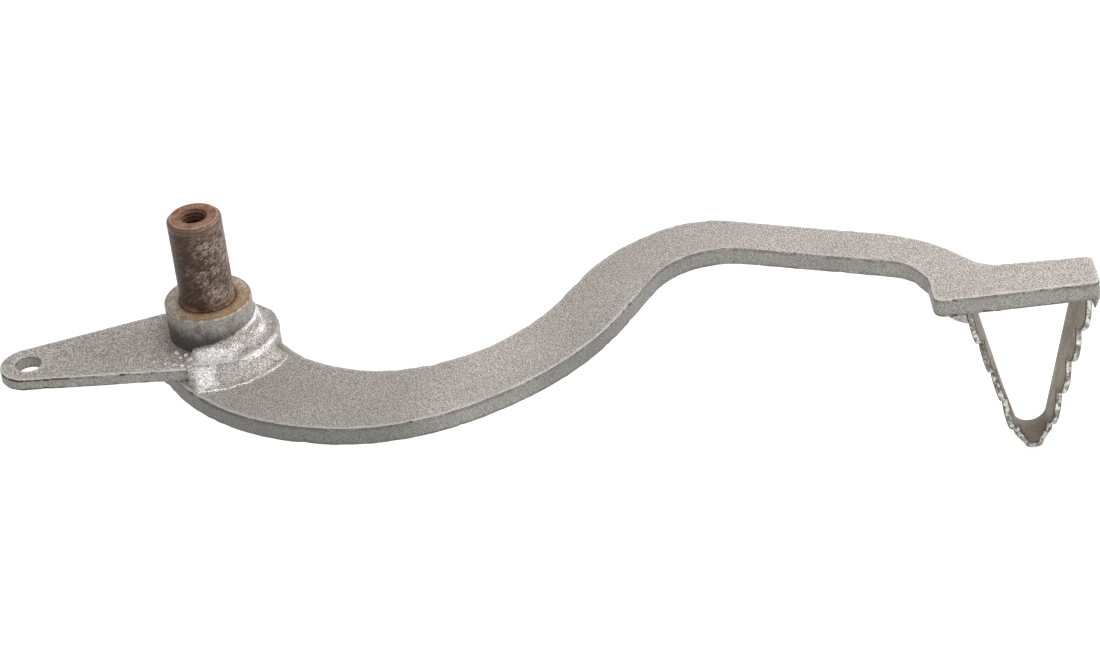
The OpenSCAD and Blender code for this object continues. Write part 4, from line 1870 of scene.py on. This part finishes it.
@dataclass
class Welds:
    """All the weld beads and the spatter beside them."""

    sizes: Sizes
    bite: float = 0.05
    boss_start: float = -118.0
    boss_sweep: float = 146.0
    boss_rise: tuple = ((0.0, 0.25, 0.5, 0.8, 1.0), (1.8, 3.2, 4.8, 5.2, 5.0))
    # Patches of painted highlight on the beads.
    boss_bright: tuple[Patch, ...] = (
        (4.0, 3.0, 0.1, 0.8), (9.0, 4.5, 0.0, 0.7), (16.5, 4.5, 0.0, 0.24),
        (21.0, 4.5, 0.84, 0.97), (25.5, 2.2, 0.6, 0.95), (22.0, 4.0, 0.45, 0.62))
    lug_centre: tuple[float, float] = (1.2, -3.0)
    lug_r: float = 18.3
    lug_start: float = -96.4
    lug_sweep: float = 71.0
    lug_run: float = 7.0
    lug_foot: tuple = ((0.0, 3.4, 13.0, 30.0), (1.5, 7.6, 5.8, 5.6))
    lug_bright: tuple[Patch, ...] = (
        (5.2, 3.6, 0.06, 1.0), (22.0, 5.0, 0.74, 1.0), (16.0, 16.0, 0.0, 0.1))
    pin_gap: float = 0.02
    strip_slope: float = 17.6
    toe_overrun: float = 1.7
    toe_inset: float = 0.2
    rear_from_edge: tuple[float, float] = (1.5, 0.5)
    front_from_edge: float = 1.25
    front_up: tuple[float, float, float] = (-0.28, 0.0, -0.96)
    spatter: tuple[tuple[float, float, float], ...] = (
        (-14.6, -8.4, 0.55), (-10.5, -10.7, 1.0), (-9.6, -13.7, 0.6), (-13.9, -15.4, 0.5),
        (-11.2, -16.9, 0.8), (-9.1, -17.8, 0.7), (-7.0, -18.9, 0.9), (-17.4, -13.9, 0.4),
        (-6.9, -15.4, 1.1), (-7.9, -12.2, 0.7), (15.6, -0.3, 0.9))
    ball_columns: int = 14
    ball_tilts: tuple[float, ...] = (-30, 0, 25, 50, 72, 88)
    ball_height: float = 0.62
    ball_wave: Wave = (0.9, 2.0)
    ball_lumps: float = 0.2
    # Painted highlight on the spatter balls.
    ball_ridge: float = 0.9
    sharp: float = 60.0

    def build(self) -> None:
        """Lay the beads and dress them."""
        material = WeldMetal().material()
        self.boss_bead(material)
        self.lug_bead(material)
        self.pin_bead(material)
        self.toe_beads(material)

    def dress(self, part: Part, node: str, material: bpy.types.Material) -> None:
        """Make a bead's object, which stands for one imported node."""
        part.build([node], "weld_metal", material, self.sharp)

    def boss_bead(self, material: bpy.types.Material) -> None:
        """Lay the sheet of weld from the boss to the lug's edge, and its spatter.

        Args:
            material: The beads' finish.
        """
        s, part = self.sizes, Part("boss_weld_bead")
        path = arc_path((0, 0), s.boss_r - self.bite, s.lug_top, self.boss_start, self.boss_sweep)
        share = np.linspace(0, 1, len(path["path"]))
        Bead(**path, foot=self.reach(path["out"]), rise=np.interp(share, *self.boss_rise),
             section=SHEET, taper=(6.0, 3.0), end_size=(0.3, 0.6), lumps=0.26, wander=0.1,
             columns=40, bright=self.boss_bright).add_to(part)
        self.add_spatter(part)
        self.dress(part, "boss_weld", material)

    def lug_bead(self, material: bpy.types.Material) -> None:
        """Lay the bead that joins the lug to the arm.

        Args:
            material: The beads' finish.
        """
        s, part = self.sizes, Part("lug_weld_bead")
        path = self.lug_path()
        arc = math.radians(self.lug_sweep) * self.lug_r
        travel = np.linspace(0, 1, len(path["path"])) * (self.lug_run + arc)
        Bead(**path, foot=np.interp(travel, *self.lug_foot), rise=s.lug_top - s.arm_top,
             section=APRON, lumps=0.2, seed=4.0, taper=(0.8, 4.0), end_size=(0.9, 0.5),
             columns=36, bright=self.lug_bright).add_to(part)
        self.dress(part, "lug_weld", material)

    def pin_bead(self, material: bpy.types.Material) -> None:
        """Lay the ring of weld round the pin under the arm.

        Args:
            material: The beads' finish.
        """
        s, part = self.sizes, Part("pin_weld_bead")
        path = arc_path((0, 0), s.pin_r + self.pin_gap, s.arm_bottom, 0, 360, -1.0)
        Bead(**path, foot=2.5, rise=1.45, closed=True, lumps=0.1, wander=0.12, ripple_h=0.08,
             seed=7.0).add_to(part)
        self.dress(part, "pin_weld", material)

    def reach(self, out: np.ndarray) -> np.ndarray:
        """Distance from the boss's side to the lug's edge.

        Args:
            out: Directions from the pivot's axis.

        Returns:
            The distance in each direction.
        """
        centre = np.array([*self.lug_centre, 0.0])
        along = out @ centre
        edge = along + np.sqrt(self.lug_r ** 2 - centre @ centre + along ** 2)
        return edge - self.sizes.boss_r

    def lug_path(self) -> dict[str, np.ndarray]:
        """Path of the bead along the lug's straight side and round its wide end.

        Returns:
            The path and the outward and upward directions, by their names in a Bead.
        """
        arc = arc_path(self.lug_centre, self.lug_r - self.bite, self.sizes.arm_top,
                       self.lug_start, self.lug_sweep)
        first, out = arc["path"][0], arc["out"][0]
        along = np.array([out[1], -out[0], 0.0])
        run = line_path(first + along * self.lug_run, first, out, (0, 0, 1))
        return {key: np.vstack([run[key][:-1], arc[key]]) for key in arc}

    def add_spatter(self, part: Part) -> None:
        """Add the balls of spatter that froze on the lug beside the boss.

        Args:
            part: Where they go.
        """
        turn = full_turn(self.ball_columns)
        for x, y, size in self.spatter:
            rows = []
            for tilt in np.radians(self.ball_tilts):
                r = size * np.cos(tilt)
                level = self.sizes.lug_top + size * self.ball_height * np.sin(tilt)
                rows.append(np.stack([x + r * np.cos(turn), y + r * np.sin(turn),
                                      np.full(self.ball_columns, level)], -1))
            rings = np.array(rows)
            rings = rings + ripple(rings, *self.ball_wave)[..., None] * self.ball_lumps * size
            part.add_rings(rings, ridge=np.full(rings.shape[:2], self.ball_ridge))

    def toe_beads(self, material: bpy.types.Material) -> None:
        """Lay the two short beads that hold the loop under the toe block.

        Args:
            material: The beads' finish.
        """
        rear_low, rear_high = node_box("toe_weld_rear")
        _, front_high = node_box("toe_weld_front")
        level, front_edge = self.sizes.arm_bottom, rear_low[1] - self.toe_overrun
        slope = math.radians(self.strip_slope)
        near, far = self.rear_from_edge
        rear = Part("toe_rear_bead")
        Bead(**line_path((rear_high[0] - near, front_edge, level),
                         (rear_high[0] - far, rear_high[1] - self.toe_inset, level),
                         (-1, 0, 0), (math.sin(slope), 0, -math.cos(slope))),
             foot=4.8, rise=3.3, taper=(0.8, 2.0), end_size=(0.85, 0.6), lumps=0.15,
             seed=12.0).add_to(rear)
        self.dress(rear, "toe_weld_rear", material)
        front = Part("toe_front_bead")
        x, top = front_high[0] - self.front_from_edge, front_high[2]
        Bead(**line_path((x, front_edge, top), (x, front_high[1] - self.toe_inset, top),
                         (1, 0, 0), self.front_up),
             foot=0.85, rise=5.3, taper=(0.9, 2.5), end_size=(0.85, 0.6), lumps=0.15, seed=15.0,
             root=1.2).add_to(front)
        self.dress(front, "toe_weld_front", material)


# Studio


@dataclass(frozen=True)
class Lamp:
    """A square soft box, in metres and watts."""

    name: str
    place: tuple[float, float, float]
    aim: tuple[float, float, float]
    size: float
    watts: float

    def build(self) -> None:
        """Hang the lamp and turn it to its aim."""
        light = bpy.data.lights.new(self.name, "AREA")
        light.shape, light.size, light.energy = "SQUARE", self.size, self.watts
        lamp = bpy.data.objects.new(self.name, light)
        lamp.location = self.place
        way = Vector(self.aim) - Vector(self.place)
        lamp.rotation_euler = way.to_track_quat("-Z", "Y").to_euler()
        bpy.context.scene.collection.objects.link(lamp)
        lamp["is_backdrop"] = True


@dataclass
class Studio:
    """White floor and background, soft lamps and the photograph's camera."""

    lowest: float
    floor_gap: float = 0.4
    floor_half_m: float = 3.0
    cloth: Colour = (0.42, 0.42, 0.42)
    plain: Colour = (0.6, 0.6, 0.6)
    white: Colour = (1.0, 1.0, 1.0)
    glow: float = 0.86
    focal_px: float = 4250.0
    image_px: float = 1100.0
    sensor: float = 36.0
    clip_m: tuple[float, float] = (0.01, 20.0)
    tilt: float = 0.573706
    roll: float = -0.125114
    shift: tuple[float, float, float] = (-97.6703, -9.1384, -1250.665)
    fit_level: float = -20.7
    ambient: float = 0.41
    lamps: tuple[Lamp, ...] = (
        Lamp("key", (0.52, 0.10, 0.42), (0.12, 0.0, -0.02), 0.35, 1.85),
        Lamp("top", (0.02, 0.25, 0.75), (0.08, 0.0, -0.02), 0.5, 0.34),
        Lamp("front", (0.35, -0.75, 0.30), (0.12, 0.0, -0.02), 0.4, 1.78),
    )

    def build(self) -> None:
        """Set up the floor, the world, the lamps, the camera and the view."""
        self.floor()
        self.world()
        for lamp in self.lamps:
            lamp.build()
        self.camera()
        bpy.context.scene.view_settings.view_transform = "Standard"

    def floor(self) -> None:
        """Lay a floor that looks white to the camera and still takes the pedal's shadow."""
        half, level = self.floor_half_m, (self.lowest - self.floor_gap) * MM
        mesh = bpy.data.meshes.new("floor")
        corners = [(x, y, level) for x, y in ((-half, -half), (half, -half), (half, half), (-half, half))]
        mesh.from_pydata(corners, [], [(0, 1, 2, 3)])
        floor = bpy.data.objects.new("floor", mesh)
        bpy.context.scene.collection.objects.link(floor)
        floor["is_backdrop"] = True
        g = Surface("white_floor")
        cloth = g.node("ShaderNodeBsdfDiffuse", {}, {"Color": self.cloth})
        glow = g.node("ShaderNodeEmission", {}, {"Color": self.white, "Strength": self.glow})
        seen = g.node("ShaderNodeAddShader", {}, {0: cloth.outputs[0], 1: glow.outputs[0]})
        plain = g.node("ShaderNodeBsdfDiffuse", {}, {"Color": self.plain})
        mixed = g.node("ShaderNodeMixShader", {},
                       {0: self.shown(g), 1: plain.outputs[0], 2: seen.outputs[0]})
        g.node("ShaderNodeOutputMaterial", {}, {0: mixed.outputs[0]})
        mesh.materials.append(g.material)

    def shown(self, g: Graph) -> Value:
        """Tell the rays that a viewer sees from those that only carry light.

        Args:
            g: The graph that asks.

        Returns:
            1 for rays from the camera, also by way of a reflection or glass, and 0 for others.
        """
        rays = g.node("ShaderNodeLightPath").outputs
        total = Value(g, rays["Is Camera Ray"]) + Value(g, rays["Is Glossy Ray"])
        return (total + Value(g, rays["Is Transmission Ray"])).least(1.0)

    def world(self) -> None:
        """Make the surroundings white where they are seen and soft grey as a light."""
        world = bpy.data.worlds.new("studio")
        bpy.context.scene.world = world
        world.use_nodes = True
        g = Graph(world.node_tree)
        strength = self.shown(g) * (1.0 - self.ambient) + self.ambient
        sky = g.node("ShaderNodeBackground", {}, {"Color": self.white, "Strength": strength})
        g.node("ShaderNodeOutputWorld", {}, {0: sky.outputs[0]})

    def camera(self) -> None:
        """Put the camera where the photograph was taken from."""
        ahead = Vector((0, math.cos(self.tilt), -math.sin(self.tilt)))
        level = Vector((1, 0, 0))
        over = level.cross(ahead)
        right = math.cos(self.roll) * level + math.sin(self.roll) * over
        up = -math.sin(self.roll) * level + math.cos(self.roll) * over
        turn = Matrix((right, up, -ahead)).transposed()
        place = -(turn @ Vector(self.shift))
        place.z += self.fit_level
        lens = bpy.data.cameras.new("camera")
        lens.sensor_width = self.sensor
        lens.lens = self.focal_px / self.image_px * self.sensor
        lens.clip_start, lens.clip_end = self.clip_m
        camera = bpy.data.objects.new("camera", lens)
        camera.matrix_world = Matrix.Translation(place * MM) @ turn.to_4x4()
        bpy.context.scene.collection.objects.link(camera)
        bpy.context.scene.camera = camera


def main() -> None:
    """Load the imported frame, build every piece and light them."""
    logging.basicConfig(level=logging.INFO, format="%(name)s %(message)s")
    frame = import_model()
    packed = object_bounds()
    LOG.info("%d packed nodes", len(frame["nodes"]))
    sizes = Sizes.of_frame()
    paint = SilverPaint().material()
    Plate("arm", "arm_plate").build(paint)
    Plate("rod_lug", "rod_lug_plate", seed=8).build(paint)
    PivotBoss(sizes).build()
    PivotPin(sizes).build()
    ToeLoop(sizes).build()
    Welds(sizes).build()
    Studio(packed[0].z / MM).build()


if __name__ == "__main__":
    main()
